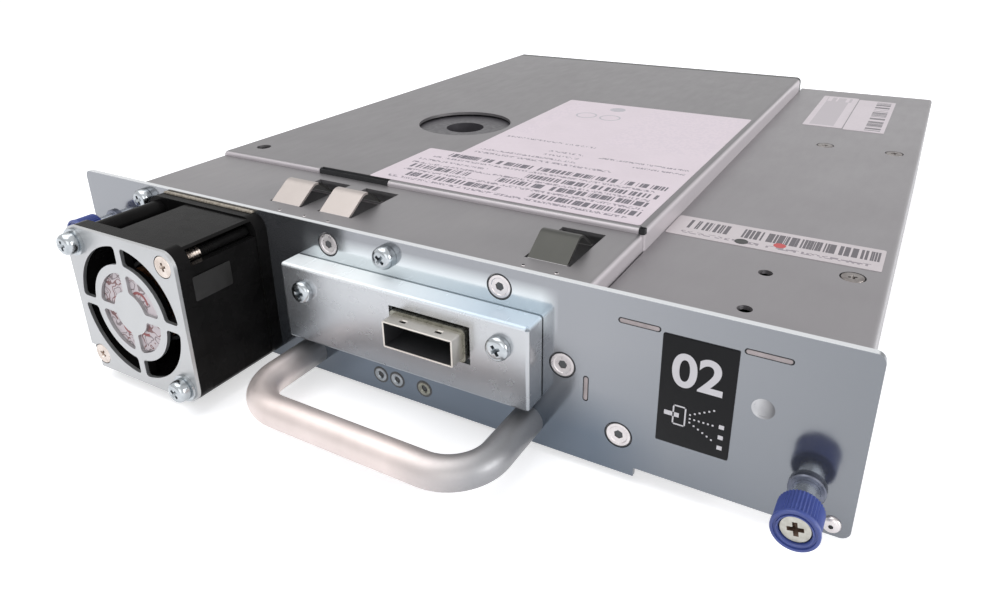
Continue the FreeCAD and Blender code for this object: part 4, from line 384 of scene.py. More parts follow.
def disc_mark(name, x, y, top, outside, inside, material):
    """A printed disc on a label, or a ring where it has an inside radius."""
    bpy.ops.object.select_all(action="DESELECT")
    bpy.ops.mesh.primitive_circle_add(vertices=36, radius=outside * MM, fill_type="NGON",
                                      location=(x * MM, y * MM, (top + label_sheet) * MM))
    mark = begin(name)
    bpy.ops.mesh.select_all(action="SELECT")
    if inside:
        bpy.ops.mesh.inset(thickness=(outside - inside) * MM)
        bpy.ops.mesh.delete(type="FACE")
        bpy.ops.mesh.select_all(action="SELECT")
    bpy.ops.mesh.extrude_region_move(TRANSFORM_OT_translate={"value": (0, 0, ink_film * MM)})
    end(mark, material, "insulator", "sled")


label_marks = coat("label_marks", (0.42, 0.40, 0.43), 0.0, ink_sheen)
marks = [(-0.3, 39.75, 3.0, 0), (-7.8, 26.75, 4.0, 3.4), (1.7, 26.75, 4.0, 3.4)]
for number, (x, y, outside, inside) in enumerate(marks, 1):
    disc_mark(f"label_mark_{number}", x, y, drive_top, outside, inside, label_marks)

# Side compartment: a folded cover of the same sheet, held by three countersunk screws driven into
# posts; it carries three plain paper labels and two round ink stamps.
wing_sheet = sheet_steel("compartment_sheet", (0.272, 0.261, 0.27), 0.72, 0.40, 0.45,
                         dark=(0.25, 0.238, 0.247))
finish_nodes(wing_sheet, "wing_cover")
wing_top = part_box("wing_cover")[1].z / MM
wing_paper = (0.53, 0.48, 0.49)
sticker("wing_label", 51.2, 102.7, -55.75, -42.25, wing_top, 0.7, paper_stock("wing_label_paper", wing_paper),
        [(barred("wing_label_bars", wing_paper, (0.10, 0.09, 0.10), 0.75, 7.0),
          [(54.7, 65.7, -50.25, -44.25), (68.7, 101.7, -50.25, -44.25)]),
         (printed("wing_label_dashes", wing_paper, (0.25, 0.22, 0.24), 0.6, 0.7, 0.5),
          [(54.7, 100.7, -53.9, -52.4)])])
far_paper = (0.585, 0.525, 0.55)
far_stock = paper_stock("far_label_paper", far_paper)
far_lines = barred("far_label_lines", far_paper, (0.45, 0.41, 0.43), 2.2, 70.0)
sticker("far_label_left", 62.7, 77.0, 73.75, 129.75, wing_top, 0.7, far_stock,
        [(far_lines, [(64.7, 75.2, 76.0, 127.5)])])
far_bars = barred("far_label_bars", far_paper, (0.15, 0.14, 0.15), 1.2, 40.0, upright=False)
sticker("far_label_right", 77.4, 91.7, 72.75, 127.75, wing_top, 0.7, far_stock,
        [(far_bars, [(84.7, 90.2, 75.0, 91.0), (84.7, 90.2, 93.5, 109.0), (84.7, 90.2, 111.5, 125.5)])])
black_ink = coat("black_ink", (0.02, 0.02, 0.02), 0.0, ink_sheen)
red_ink = coat("red_ink", (0.45, 0.06, 0.06), 0.0, ink_sheen)
disc_mark("wing_mark_black", 70.2, -53.0, wing_top, 1.7, 0, black_ink)
disc_mark("wing_mark_red", 79.2, -51.25, wing_top, 1.5, 0, red_ink)

# Rear bracket: folded sheet that ties the panel to the drive, with three lanced spring fingers
# that rise above its top. They are lighter above the bracket's top and the right one is darker;
# painted shade lies on their far parts and a painted highlight on the bracket's right edge.
bracket = sheet_steel("bracket_sheet", (0.25, 0.24, 0.246), 0.72, 0.40, 0.45, dark=(0.225, 0.217, 0.224))
raised = ("Z", 39.86, 39.861)
retone_zones(bracket, (0.40, 0.36, 0.34), raised)
retone_zones(bracket, (0.055, 0.055, 0.05), raised, ("X", 20.0, 20.001))
# Painted shade on the fingers' parts beyond y -87, their shaded side.
retone_zones(bracket, (0.03, 0.03, 0.028), raised, ("Y", -87.2, -86.8))
# Painted highlight along the bracket's right edge.
retone_zones(bracket, painted_edge_highlight, ("X", 49.5, 50.0), metallic=0.35)
finish_nodes(bracket, "rear_bracket")

# Rear panel, interface cover, port carrier and cartridge tray: bright zinc-plated sheet with a
# bluish passivation, smooth enough to mirror its neighbours softly. Painted shade darkens the
# sheet towards its lower edges, at the panel's right end and on the panel below the cover. The
# panel's upper edge has a painted highlight and the zone over the cover a painted reflection of
# the cover's roof; the cover has a lighter, painted-light copy of the zinc and a painted highlight
# on its roof.


def painted_height_shade(material, low, high, *stops):
    """Painted shade by height, darker towards the lower edge: tones by height between two levels in
    millimetres, broken up by soft clouds."""
    tree = material.node_tree
    clouds = pattern(tree, 22, stretch=(1, 1, 0.6), detail=1)
    height = share_along(tree, "Z", low, high)
    drift = add_node(tree, "Math", {0: clouds, 1: 0.35, 2: height}, operation="MULTIPLY_ADD")
    tones(material, drift.outputs[0], *stops)


zinc = sheet_steel("bright_zinc", (0.47, 0.485, 0.51), 0.85, 0.12, 0.16)
# Painted shade: the panel darker towards its lower edge.
painted_height_shade(zinc, 2, 44, (0.1, (0.14, 0.163, 0.195)), (0.5, (0.222, 0.237, 0.26)), (0.95, (0.272, 0.28, 0.298)))
# Painted shade: darker towards the panel's right end.
retone_zones(zinc, (0.2, 0.21, 0.226), ("X", 55, 105))
# Painted shade on the panel below the cover, round the handle.
retone_zones(zinc, (0.125, 0.15, 0.185), ("X", 72, 56), ("X", -24, -14), ("Z", 21, 9))
# Painted reflection of the cover's roof on the panel's front just above the cover.
retone_zones(zinc, (0.66, 0.70, 0.72), ("X", -24, -18), ("X", 47, 43), ("Z", 42, 38), ("Z", 30, 34),
     ("Y", -109.7, -110.1))
# Painted highlight along the panel's upper edge, less metallic there.
retone_zones(zinc, (0.66, 0.67, 0.68), ("Z", 44.0, 44.15), metallic=0.4)
finish_nodes(zinc, "rear_panel", "port_carrier", "cartridge_tray")
# The cover's zinc: a lighter copy of the panel's, painted light.
lit_cover_zinc = sheet_steel("lit_cover_zinc", (0.52, 0.54, 0.565), 0.8, 0.25, 0.28)
# Painted shade: the cover's front darker towards its lower edge.
painted_height_shade(lit_cover_zinc, 14.4, 35.5, (0.1, (0.22, 0.24, 0.265)), (0.5, (0.37, 0.382, 0.402)),
        (0.95, (0.49, 0.502, 0.52)))
roof = ("Z", 34.0, 34.7)
# Painted highlight on the cover's roof, less metallic there.
retone_zones(lit_cover_zinc, (0.95, 0.985, 0.99), roof, metallic=0.15)
# Painted bluish reflection along the middle of the cover's roof.
retone_zones(lit_cover_zinc, (0.58, 0.68, 0.77), roof, ("X", -2, 32))
finish_nodes(lit_cover_zinc, "interface_cover")

# Hidden screws and the compartment's posts: nickel-plated steel, barrel-plated and so
# slightly clouded.
nickel = coat("nickel_plate", (500, (0.36, 0.37, 0.38), (0.47, 0.48, 0.49)),
              1.0, (1200, 0.2, 0.32), (2500, 0.01, 0.3))
finish_nodes(nickel, "wing_posts", "handle_screws", "drive_side_screws")

# Flush studs of the panel: pale turned studs swaged into countersinks, each in a ring of painted
# shade where the sheet stands off, with a brown hexagon socket.


def turned(name, place, outline, sides=40):
    """A turned piece with its axis along Y: a disc extruded and scaled from point to point of
    its outline, each a radius and a distance out from the face at the place."""
    x, y, z = place
    bpy.ops.object.select_all(action="DESELECT")
    radius, reach = outline[0]
    bpy.ops.mesh.primitive_circle_add(vertices=sides, radius=radius * MM, fill_type="NGON",
                                      location=(x * MM, (y - reach) * MM, z * MM),
                                      rotation=(math.pi / 2, 0, 0))
    piece = begin(name)
    bpy.ops.mesh.select_all(action="SELECT")
    for wider, further in outline[1:]:
        growth = (wider / radius, 1, wider / radius)
        bpy.ops.mesh.extrude_region_move(TRANSFORM_OT_translate={"value": (0, (reach - further) * MM, 0)})
        bpy.ops.transform.resize(value=growth, center_override=Vector(place) * MM)
        radius, reach = wider, further
    bpy.ops.mesh.select_all(action="SELECT")
    bpy.ops.mesh.normals_make_consistent(inside=False)
    bpy.ops.object.mode_set(mode="OBJECT")
    return piece


def carve(piece, cutter):
    """Cut the cutter's shape out of the piece."""
    bpy.ops.object.select_all(action="DESELECT")
    piece.select_set(True)
    bpy.context.view_layer.objects.active = piece
    cut = piece.modifiers.new("cut", "BOOLEAN")
    cut.object = cutter
    cut.solver = "EXACT"
    bpy.ops.object.modifier_apply(modifier="cut")
    bpy.data.objects.remove(cutter)


def copied(piece, places):
    """Copy a finished shape from the first place to the others, each an x, y, z and a turn about
    Y in degrees, and join the copies into it."""
    first = Vector(places[0][:3])
    shapes = [piece]
    for x, y, z, turn in places[1:]:
        bpy.ops.object.select_all(action="DESELECT")
        piece.select_set(True)
        bpy.context.view_layer.objects.active = piece
        bpy.ops.object.duplicate(linked=False)
        bpy.ops.transform.rotate(value=math.radians(turn), orient_axis="Y", center_override=first * MM)
        bpy.ops.transform.translate(value=(Vector((x, y, z)) - first) * MM)
        bpy.ops.object.transform_apply(location=True, rotation=True, scale=True)
        shapes.append(bpy.context.object)
    bpy.ops.object.select_all(action="DESELECT")
    for shape in shapes:
        shape.select_set(True)
    bpy.context.view_layer.objects.active = piece
    bpy.ops.object.join()


def within(places, radius, behind):
    """A test for faces near one of the places, seen along Y, and further back than a y."""
    return lambda middle: middle.y > behind and any(
        math.hypot(middle.x - x, middle.z - z) < radius for x, _, z, _ in places)


def zoned(piece, material, *zones):
    """Give a piece its material, then each zone's material to the faces that pass its test."""
    piece.data.materials.append(material)
    for index, (zone_material, test) in enumerate(zones, 1):
        piece.data.materials.append(zone_material)
        for face in piece.data.polygons:
            if test(face.center / MM):
                face.material_index = index


panel_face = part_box("rear_panel")[0].y / MM
stud_places = [(-14.7, panel_face, 39.2, 0), (32.9, panel_face, 39.2, 17), (48.0, panel_face, 24.4, 40),
               (61.2, panel_face, 11.3, 8)]
stud_tone = coat("stud_nickel", (300, (0.58, 0.54, 0.54), (0.70, 0.66, 0.66)),
                 0.85, (1200, 0.24, 0.4), (2500, 0.01, 0.3))
# Painted shade for bores, slot gaps, holes and the drive cover's slot and notch.
hollow_shade = coat("painted_hollow_shade", (0.02, 0.02, 0.022), 0.0, (700, 0.6, 0.8))
socket_tone = coat("brown_socket", (0.12, 0.075, 0.05), 0.3, (700, 0.5, 0.65))
# Painted shade for the rings round studs and rivets.
ring_shade = coat("painted_ring_shade", (0.07, 0.072, 0.075), 0.0, (700, 0.5, 0.7))
stud = turned("stud_heads", stud_places[0][:3],
              [(2.7, -1.15), (2.72, -0.1), (2.62, 0.0), (2.05, 0.0), (1.9, -0.14), (1.2, -0.18)], 48)
socket_middle = Vector(stud_places[0][:3]) + Vector((0, 0.2, 0))
bpy.ops.mesh.primitive_cylinder_add(vertices=6, radius=1.05 * MM, depth=2.0 * MM, location=socket_middle * MM,
                                    rotation=(math.pi / 2, 0, 0))
carve(stud, bpy.context.object)
copied(stud, stud_places)
zoned(stud, stud_tone, (socket_tone, within(stud_places, 1.04, panel_face + 0.25)))
end(stud, None, "steel", "sled", "panel_studs")
# Rings of painted shade where the sheet stands off round each stud.
ring = turned("stud_rings", stud_places[0][:3], [(2.87, -0.5), (2.87, 0.02), (2.74, 0.02), (2.74, -0.3)], 48)
copied(ring, stud_places)
end(ring, ring_shade, "insulator", "sled")

# Small rivets of the panel: tubular, set in counterbores drawn as rings of painted shade, with a
# bore of painted shade; the third one kept its olive passivation. The corner rivet is domed, with
# painted shade in its mandrel end.
rivet_tone = coat("rivet_zinc", (600, (0.22, 0.24, 0.26), (0.32, 0.34, 0.36)),
                  0.9, (1200, 0.22, 0.36), (2500, 0.01, 0.3))
olive_tone = coat("olive_passivation", (600, (0.16, 0.16, 0.135), (0.27, 0.27, 0.235)),
                  0.9, (1200, 0.22, 0.36))
rivet_places = [(-1.6, panel_face, 6.6, 0), (3.4, panel_face, 6.6, 0), (11.5, panel_face, 6.6, 0)]
olive_from = 8.0
rivet = turned("rivet_heads", rivet_places[0][:3],
               [(1.6, -1.0), (1.62, 0.0), (1.75, 0.1), (1.5, 0.22), (1.05, 0.2), (0.75, -0.1), (0.7, -0.8)])
copied(rivet, rivet_places)
# The bores get painted shade.
zoned(rivet, rivet_tone, (olive_tone, lambda middle: middle.x > olive_from),
      (hollow_shade, within(rivet_places, 0.8, panel_face + 0.04)))
end(rivet, None, "steel", "sled", "panel_rivets")
# Counterbore rings of painted shade.
ring = turned("rivet_rings", rivet_places[0][:3], [(2.25, -0.5), (2.25, 0.02), (1.66, 0.02), (1.66, -0.3)])
copied(ring, rivet_places)
end(ring, ring_shade, "insulator", "sled")
corner_place = (103.8, panel_face, 6.7)
dome = turned("corner_rivet_head", corner_place,
              [(1.4, -1.15), (1.4, -0.02), (1.79, 0.0), (1.74, 0.3), (1.5, 0.6), (1.1, 0.8),
               (0.45, 0.89), (0.4, 0.7)])
# Painted shade in the corner rivet's mandrel end.
zoned(dome, stud_tone, (hollow_shade, within([(*corner_place, 0)], 0.44, panel_face - 0.86)))
end(dome, None, "steel", "sled", "corner_rivet")

# Pan-head screws: cold-headed, bluish zinc over steel, with a cross recess. Two hold the panel to
# its bracket, two hold the interface cover and two go through the fan.
screw_tone = coat("screw_zinc", (500, (0.36, 0.385, 0.405), (0.48, 0.505, 0.525)),
                  1.0, (1500, 0.16, 0.24), (2500, 0.01, 0.2))


def block(name, low, high):
    """A cuboid between two corners in millimetres, opened in edit mode."""
    low, high = Vector(low), Vector(high)
    bpy.ops.object.select_all(action="DESELECT")
    bpy.ops.mesh.primitive_cube_add(size=1, location=(low + high) / 2 * MM)
    bpy.context.object.scale = (high - low) * MM
    return begin(name)


def cross_recess(piece, place, half, deep, turn):
    """Cut a cross recess into a head whose face is at the place, with two tapered blades."""
    middle = Vector(place)
    reach = Vector((half, deep, half / 4))
    for angle in (0, 90):
        blade = block("blade", middle - reach, middle + reach)
        pick(blade, "faces", lambda face, _: face.normal.y > 0.9)
        bpy.ops.transform.resize(value=(0.3, 1, 0.6), center_override=(middle + Vector((0, deep, 0))) * MM)
        bpy.ops.mesh.select_all(action="SELECT")
        bpy.ops.transform.rotate(value=math.radians(angle + turn), orient_axis="Y",
                                 center_override=middle * MM)
        bpy.ops.object.mode_set(mode="OBJECT")
        carve(piece, blade)


def pan_screws(name, node, places, height, shank, turn):
    """Pan-head screws of a height and a shank below the head, seated at the places."""
    x, y, z, _ = places[0]
    head = turned(name, (x, y, z), [(1.4, -shank), (1.4, 0), (2.7, 0), (2.8, 0.12), (2.8, height * 0.48),
                                    (2.66, height * 0.74), (2.3, height * 0.92), (1.85, height),
                                    (0.5, height)])
    cross_recess(head, (x, y - height, z), 2.0, 1.3, turn)
    copied(head, places)
    end(head, screw_tone, "steel", "sled", node)


pan_screws("panel_screw_heads", "panel_screws",
           [(-81.0, panel_face, 40.0, 0), (3.1, panel_face, 40.0, 31)], 2.8, 1.1, 20)
cover_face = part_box("interface_cover")[0].y / MM
pan_screws("interface_screw_heads", "interface_screws",
           [(-18.1, cover_face, 28.7, 0), (36.3, cover_face, 28.7, 28)], 1.9, 0.9, 5)

# Lanced slots of the panel: each is filled by the round-ended tab of a plastic cable clip, with a
# dark plate of painted shade showing in the gap round it.
tab_tone = coat("clip_tab", (400, (0.30, 0.26, 0.26), (0.40, 0.345, 0.345)), 0.2, 0.45, (2500, 0.02, 0.3))


def pick_along(piece, axis, least):
    """In edit mode, select the edges that run along an axis (0 to 2) for more than a length."""
    pick(piece, "edges", lambda edge, _: abs(edge.verts[0].co[axis] - edge.verts[1].co[axis]) > least * MM)


def upright_plate(name, left, right, low, high, back, front, corner, segments, soften, material):
    """A plate on the panel, from a depth behind its face to one before it, with rounded corners
    and a softened front."""
    plate = block(name, (left, panel_face - front, low), (right, panel_face - back, high))
    pick_along(plate, 1, (front - back) / 2)
    bpy.ops.mesh.bevel(offset=corner * MM, segments=segments)
    pick(plate, "edges", lambda edge, _: any(face.normal.y < -0.9 for face in edge.link_faces))
    bpy.ops.mesh.bevel(offset=soften * MM, segments=2)
    end(plate, material, "insulator", "sled")


slots = [(88.8, 38.5, 8.2, 0.9), (64.3, 38.5, 8.2, 0.9), (53.5, 20.3, 0.9, 5.6)]
# The second filling is a dark plate of painted shade seen through the gap round each tab.
fillings = [("clip_tab", 0, -0.8, 0.1, tab_tone), ("clip_slot_shade", 0.22, -1.0, 0.02, hollow_shade)]
for number, (x, z, across, tall) in enumerate(slots, 1):
    for name, grow, back, front, material in fillings:
        half_across, half_tall = across / 2 + grow, tall / 2 + grow
        nearly_round = min(half_across, half_tall) * 0.98
        upright_plate(f"{name}_{number}", x - half_across, x + half_across, z - half_tall, z + half_tall,
                      back, front, nearly_round, 6, 0.12, material)

# Pressed dimple of the panel, burnished by the punch: a low rim round a shallow bowl, with painted
# shade on its right side.
burnished = coat("burnished_zinc", (300, (0.36, 0.36, 0.37), (0.44, 0.44, 0.45)), 1.0, (900, 0.12, 0.22))
# Painted shade on the dimple's right side.
retone_zones(burnished, (0.12, 0.12, 0.125), ("X", 88.0, 90.8))
dimple = turned("panel_dimple", (89.0, panel_face, 27.3),
                [(2.2, -0.1), (2.15, 0.02), (1.9, 0.03), (1.6, -0.12), (1.1, -0.26), (0.6, -0.32),
                 (0.2, -0.34)], 48)
end(dimple, burnished, "steel", "sled")

# Port label of the panel: a black plastic plate, stuck on, with two white digits and a plain
# pictogram of a plug and its lines, screen-printed.
plate_tone = coat("black_label", (0.006, 0.006, 0.007), 0.0, (500, 0.3, 0.45), (2500, 0.01, 0.15))
shader_of(plate_tone).inputs["Specular IOR Level"].default_value = 0.15
white_ink = coat("white_ink", (0.62, 0.60, 0.62), 0.0, ink_sheen)
plate_front = 0.3
upright_plate("port_plate", 69.2, 83.8, 13.55, 38.15, 0.0, plate_front, 0.3, 5, 0.1, plate_tone)
digits_place = Vector((76.5, panel_face - plate_front, 27.6))
bpy.ops.object.text_add(location=digits_place * MM, rotation=(math.pi / 2, 0, 0))
digits = bpy.context.object
digits.data.body = "02"
digits.data.align_x = "CENTER"
digits.data.size = 10.2 * MM
digits.data.extrude = 0.02 * MM
digits.data.offset = 0.22 * MM
bpy.ops.object.convert(target="MESH")
digits.name = "port_plate_digits"
bpy.ops.object.transform_apply(location=True, rotation=True, scale=True)
digits.data.materials.clear()
end(digits, white_ink, "insulator", "sled")
strokes = [(72.3, 75.0, 22.7, 23.0), (72.3, 75.0, 18.4, 18.7), (72.3, 72.6, 18.4, 23.0),
           (74.7, 75.0, 18.4, 23.0), (70.6, 73.6, 20.2, 21.2)]
dot_half, dot_pitch, first_step = 0.18, 0.9, 1.8
for slope in (0.5, 0.0, -0.5):
    for step in range(6):
        x, z = 75.8 + dot_pitch * step, 20.7 + slope * (first_step + step)
        strokes.append((x - dot_half, x + dot_half, z - dot_half, z + dot_half))
strokes += [(81.5, 82.5, low, low + 0.9) for low in (15.6, 18.0, 20.4)]
ink_sheet = 0.06
bpy.ops.object.select_all(action="DESELECT")
for left, right, low, high in strokes:
    middle = Vector(((left + right) / 2, panel_face - plate_front - 0.01, (low + high) / 2))
    size = Vector((right - left, ink_sheet, high - low))
    bpy.ops.mesh.primitive_cube_add(size=1, location=middle * MM, scale=size * MM)
    if bpy.context.mode == "OBJECT":
        pictogram = begin("port_plate_pictogram")
pick_along(pictogram, 1, 0.05)
bpy.ops.mesh.bevel(offset=0.06 * MM, segments=2)
end(pictogram, white_ink, "insulator", "sled")

# Port cage: drawn from nickel-plated sheet in two stages, the rear one a little larger and gone
# olive, with two square latch windows; a dark contact insert stands inside, and the cage's bore
# takes the dark moulding as painted shade.
cage_low, cage_high = (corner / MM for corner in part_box("port_cage"))
cage_middle = (cage_low + cage_high) / 2
stage_step, stage_depth, cage_wall, cage_bore = 0.8, 3.8, 0.4, 16
stage_face = cage_low.y + stage_depth
warm_nickel = coat("warm_nickel_plate", (dict(scale=120, detail=1), (0.57, 0.54, 0.495), (0.66, 0.63, 0.585)),
                   0.85, (900, 0.28, 0.33), (600, 0.01, 0.1))
cage = block("port_shell", (cage_low.x - stage_step, stage_face, cage_low.z - stage_step),
             (cage_high.x + stage_step, cage_high.y, cage_high.z + stage_step))
pick_along(cage, 1, 10)
bpy.ops.mesh.bevel(offset=1.1 * MM, segments=4)
pick(cage, "faces", lambda face, _: face.normal.y < -0.9)
bpy.ops.mesh.inset(thickness=stage_step * MM)
bpy.ops.mesh.extrude_region_move(TRANSFORM_OT_translate={"value": (0, -stage_depth * MM, 0)})
bpy.ops.mesh.inset(thickness=cage_wall * MM)
bpy.ops.mesh.extrude_region_move(TRANSFORM_OT_translate={"value": (0, cage_bore * MM, 0)})
bpy.ops.mesh.select_all(action="SELECT")
bpy.ops.mesh.normals_make_consistent(inside=False)
bpy.ops.object.mode_set(mode="OBJECT")
window_half = Vector((0.85, 0.65, 0.8))
for side in (-1, 1):
    middle = Vector((cage_middle.x + side * 4.7, cage_low.y + 1.9, cage_high.z))
    window = block("window", middle - window_half, middle + window_half)
    bpy.ops.object.mode_set(mode="OBJECT")
    carve(cage, window)
inner = (cage_high - cage_low) / 2 - Vector((cage_wall, 0, cage_wall))


def in_cage(middle):
    """A test for the faces of the cage's bore."""
    out = max(abs(middle.x - cage_middle.x) - inner.x, abs(middle.z - cage_middle.z) - inner.z)
    return out < 0.02 and middle.y > cage_low.y + 0.1


# The bore takes the dark moulding: painted shade inside the cage.
zoned(cage, warm_nickel, (olive_tone, lambda middle: middle.y > stage_face - 0.05), (moulding, in_cage))
end(cage, None, "cage", "sled", "port_cage")

# Handle: a bent rod of satin aluminium, lightly scuffed where it is gripped, held by two screws
# from behind the panel. It carries painted shade on its right and on its legs near the panel, and
# a painted highlight at the left of its bar.
satin = coat("satin_aluminium", (dict(scale=120, detail=2), (0.65, 0.57, 0.545), (0.73, 0.645, 0.62)), 0.8,
             (1100, 0.44, 0.52), (2000, 0.01, 0.1))
# Painted shade on the right part and the legs near the panel.
retone_zones(satin, (0.30, 0.30, 0.31), ("X", 22, 40), ("Y", -127, -114), joined="MAXIMUM")
# Painted highlight on the left of the bar.
retone_zones(satin, (0.88, 0.79, 0.76), ("X", -12, -24), ("Y", -118, -128))
finish_nodes(satin, "handle")

# Fan: a glass-filled black moulding with its rotor on a sintered bearing. A paper disc with
# generic marks is stuck on the motor plate, a thin dark patch stands on its side, and a foam
# strip seals it.
black = coat("black_moulding", (150, (0.006, 0.0058, 0.0058), (0.009, 0.0087, 0.0088)), 0.0,
             (300, 0.22, 0.32), (2500, 0.01, 0.15))
shader_of(black).inputs["IOR"].default_value = 1.12
shader_of(black).inputs["Specular Tint"].default_value = (0.9, 0.84, 0.8, 1)
finish_nodes(black, "fan_frame", "fan_rotor")
bronze = coat("sintered_bronze", (0.5, 0.33, 0.16), 1.0, (900, 0.38, 0.55), (3000, 0.02, 0.4))
finish_nodes(bronze, "fan_bearing")
fan_low, fan_high = (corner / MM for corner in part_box("fan_frame"))
fan_middle = (fan_low + fan_high) / 2
disc_tone = (0.62, 0.55, 0.57)
disc_paper = paper_stock("motor_label_paper", disc_tone)
disc_print = pattern(disc_paper.node_tree, 330, detail=1)
tones(disc_paper, disc_print, (0.3, disc_tone), (0.40, (0.20, 0.09, 0.09)), (0.45, disc_tone),
      (0.53, (0.24, 0.19, 0.20)), (0.575, disc_tone), sharp=True)
motor_label = turned("motor_label", (fan_middle.x, fan_low.y, fan_middle.z),
                     [(10.6, -0.02), (10.6, 0.06), (10.5, 0.08)], 64)
end(motor_label, disc_paper, "insulator", "sled")
dull_red = coat("dull_red_ink", (0.30, 0.08, 0.08), 0.0, ink_sheen)


def crescent(name, x, z, outside, inside, start, sweep, front, material):
    """A printed arc on the motor label: a short bar spun about the arc's middle."""
    middle = Vector((x, front, z))
    bar = middle + Vector(((outside + inside) / 2, 0, 0))
    bpy.ops.object.select_all(action="DESELECT")
    bpy.ops.mesh.primitive_plane_add(size=1, location=bar * MM)
    bpy.context.object.scale = ((outside - inside) * MM, 0.03 * MM, 1)
    arc = begin(name)
    bpy.ops.mesh.select_all(action="SELECT")
    bpy.ops.mesh.spin(steps=28, angle=math.radians(sweep), center=middle * MM, axis=(0, 1, 0))
    bpy.ops.mesh.select_all(action="SELECT")
    bpy.ops.transform.rotate(value=math.radians(start), orient_axis="Y", center_override=middle * MM)
    end(arc, material, "insulator", "sled")


arc_front = fan_low.y - 0.1
arcs = [(3.6, 3.4, 3.0, 2.3, 0, 250), (3.8, 3.2, 1.6, 1.1, 120, 200), (3.2, -2.6, 3.2, 2.5, 60, 240),
        (-4.2, 1.0, 2.6, 2.0, 90, 260), (-3.4, -4.8, 1.9, 1.4, 20, 280)]
for number, (x, z, outside, inside, start, sweep) in enumerate(arcs, 1):
    crescent(f"motor_label_arc_{number}", fan_middle.x + x, fan_middle.z + z, outside, inside, start, sweep,
             arc_front, dull_red)
side_patch = coat("dark_side_patch", (0.009, 0.0085, 0.008), 0.0, (500, 0.34, 0.46))
label = block("fan_side_patch", (fan_high.x, fan_low.y + 3.3, fan_high.z - 13.7),
              (fan_high.x + 0.08, fan_low.y + 14.3, fan_high.z - 7.5))
pick_along(label, 0, 0.05)
bpy.ops.mesh.bevel(offset=0.4 * MM, segments=3)
end(label, side_patch, "insulator", "sled")
foam = coat("foam_seal", (dict(kind="Voronoi", scale=1500), (0.22, 0.19, 0.15), (0.36, 0.32, 0.265)),
            0.0, 0.7, (dict(kind="Voronoi", scale=2500), 0.1, 0.4))
seal = block("fan_seal", (fan_middle.x - 16.5, panel_face - 1.15, fan_high.z),
             (fan_middle.x + 16.5, panel_face - 0.05, fan_high.z + 0.5))
pick(seal, "edges", lambda edge, middle: middle.z > fan_high.z + 0.4)
bpy.ops.mesh.bevel(offset=0.3 * MM, segments=3)
end(seal, foam, "insulator", "sled")

# Fan guard: stamped grey sheet with two rings of four slots, on the fan's outlet side. Two of its
# screws are countersunk, yellow and threaded far into the fan, two are pan heads on washers.
guard_grey = sheet_steel("guard_sheet", (0.49, 0.495, 0.50), 0.75, 0.30, 0.38, dark=(0.44, 0.445, 0.45))
finish_nodes(guard_grey, "fan_guard")
finish_nodes(screw_tone, "fan_washers")
guard_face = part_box("fan_guard")[0].y / MM
washer_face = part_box("fan_washers")[0].y / MM
pan_screws("fan_pan_heads", "fan_screws_proud",
           [(-71.0, washer_face, 39.3, 0), (-39.0, washer_face, 7.3, 38)], 2.8, 1.5, 10)
brass = coat("yellow_passivation", (400, (0.50, 0.43, 0.38), (0.66, 0.59, 0.54)),
             1.0, (1200, 0.22, 0.4), (2500, 0.01, 0.3))
flush_places = [(-39.0, guard_face, 39.3, 0), (-71.0, guard_face, 7.3, 50)]
crest, root, thread_end, half_pitch, lit_depth = 1.42, 1.12, -13.5, 0.35, 9.5
thread = [(crest if step % 2 else root, thread_end + step * half_pitch) for step in range(31)]
flush = turned("fan_flush_heads", flush_places[0][:3],
               [(1.3, -28.9), (crest, -28.6), *thread, (crest, -2.5), (crest, -2.0), (2.7, -0.1), (2.6, 0.0),
                (0.5, 0.0)], 32)
cross_recess(flush, flush_places[0][:3], 1.7, 1.2, 12)
copied(flush, flush_places)
# Beyond lit_depth the shanks take the fan's black: painted shade inside the fan's notch.
zoned(flush, brass, (black, lambda middle: middle.y > guard_face + lit_depth))
end(flush, None, "brass_screw", "sled", "fan_screws_flush")

# Captive thumbscrews: moulded blue knobs with a fine knurl, a plain rim and an inner ring, each
# pressed on a nickel-plated shouldered screw with a wide cross recess, in a swaged bush.
blue = coat("blue_moulding", (250, (0.042, 0.064, 0.24), (0.056, 0.084, 0.295)),
            0.0, (400, 0.3, 0.42), (2500, 0.01, 0.2))
shank_tone = coat("shank_nickel", (500, (0.52, 0.55, 0.60), (0.63, 0.66, 0.71)),
                  1.0, (1200, 0.2, 0.3), (2500, 0.01, 0.2))
finish_nodes(shank_tone, "left_thumb_screw", "right_thumb_screw", "left_thumb_clip", "right_thumb_clip")
bush_tone = coat("bush_nickel", (500, (0.11, 0.12, 0.155), (0.17, 0.18, 0.22)), 0.95, (1200, 0.24, 0.36))
finish_nodes(bush_tone, "left_thumb_bush", "right_thumb_bush")
head_tone = coat("head_nickel", (900, (0.36, 0.35, 0.31), (0.48, 0.47, 0.425)), 0.9, (1200, 0.28, 0.4))
ribs = 40
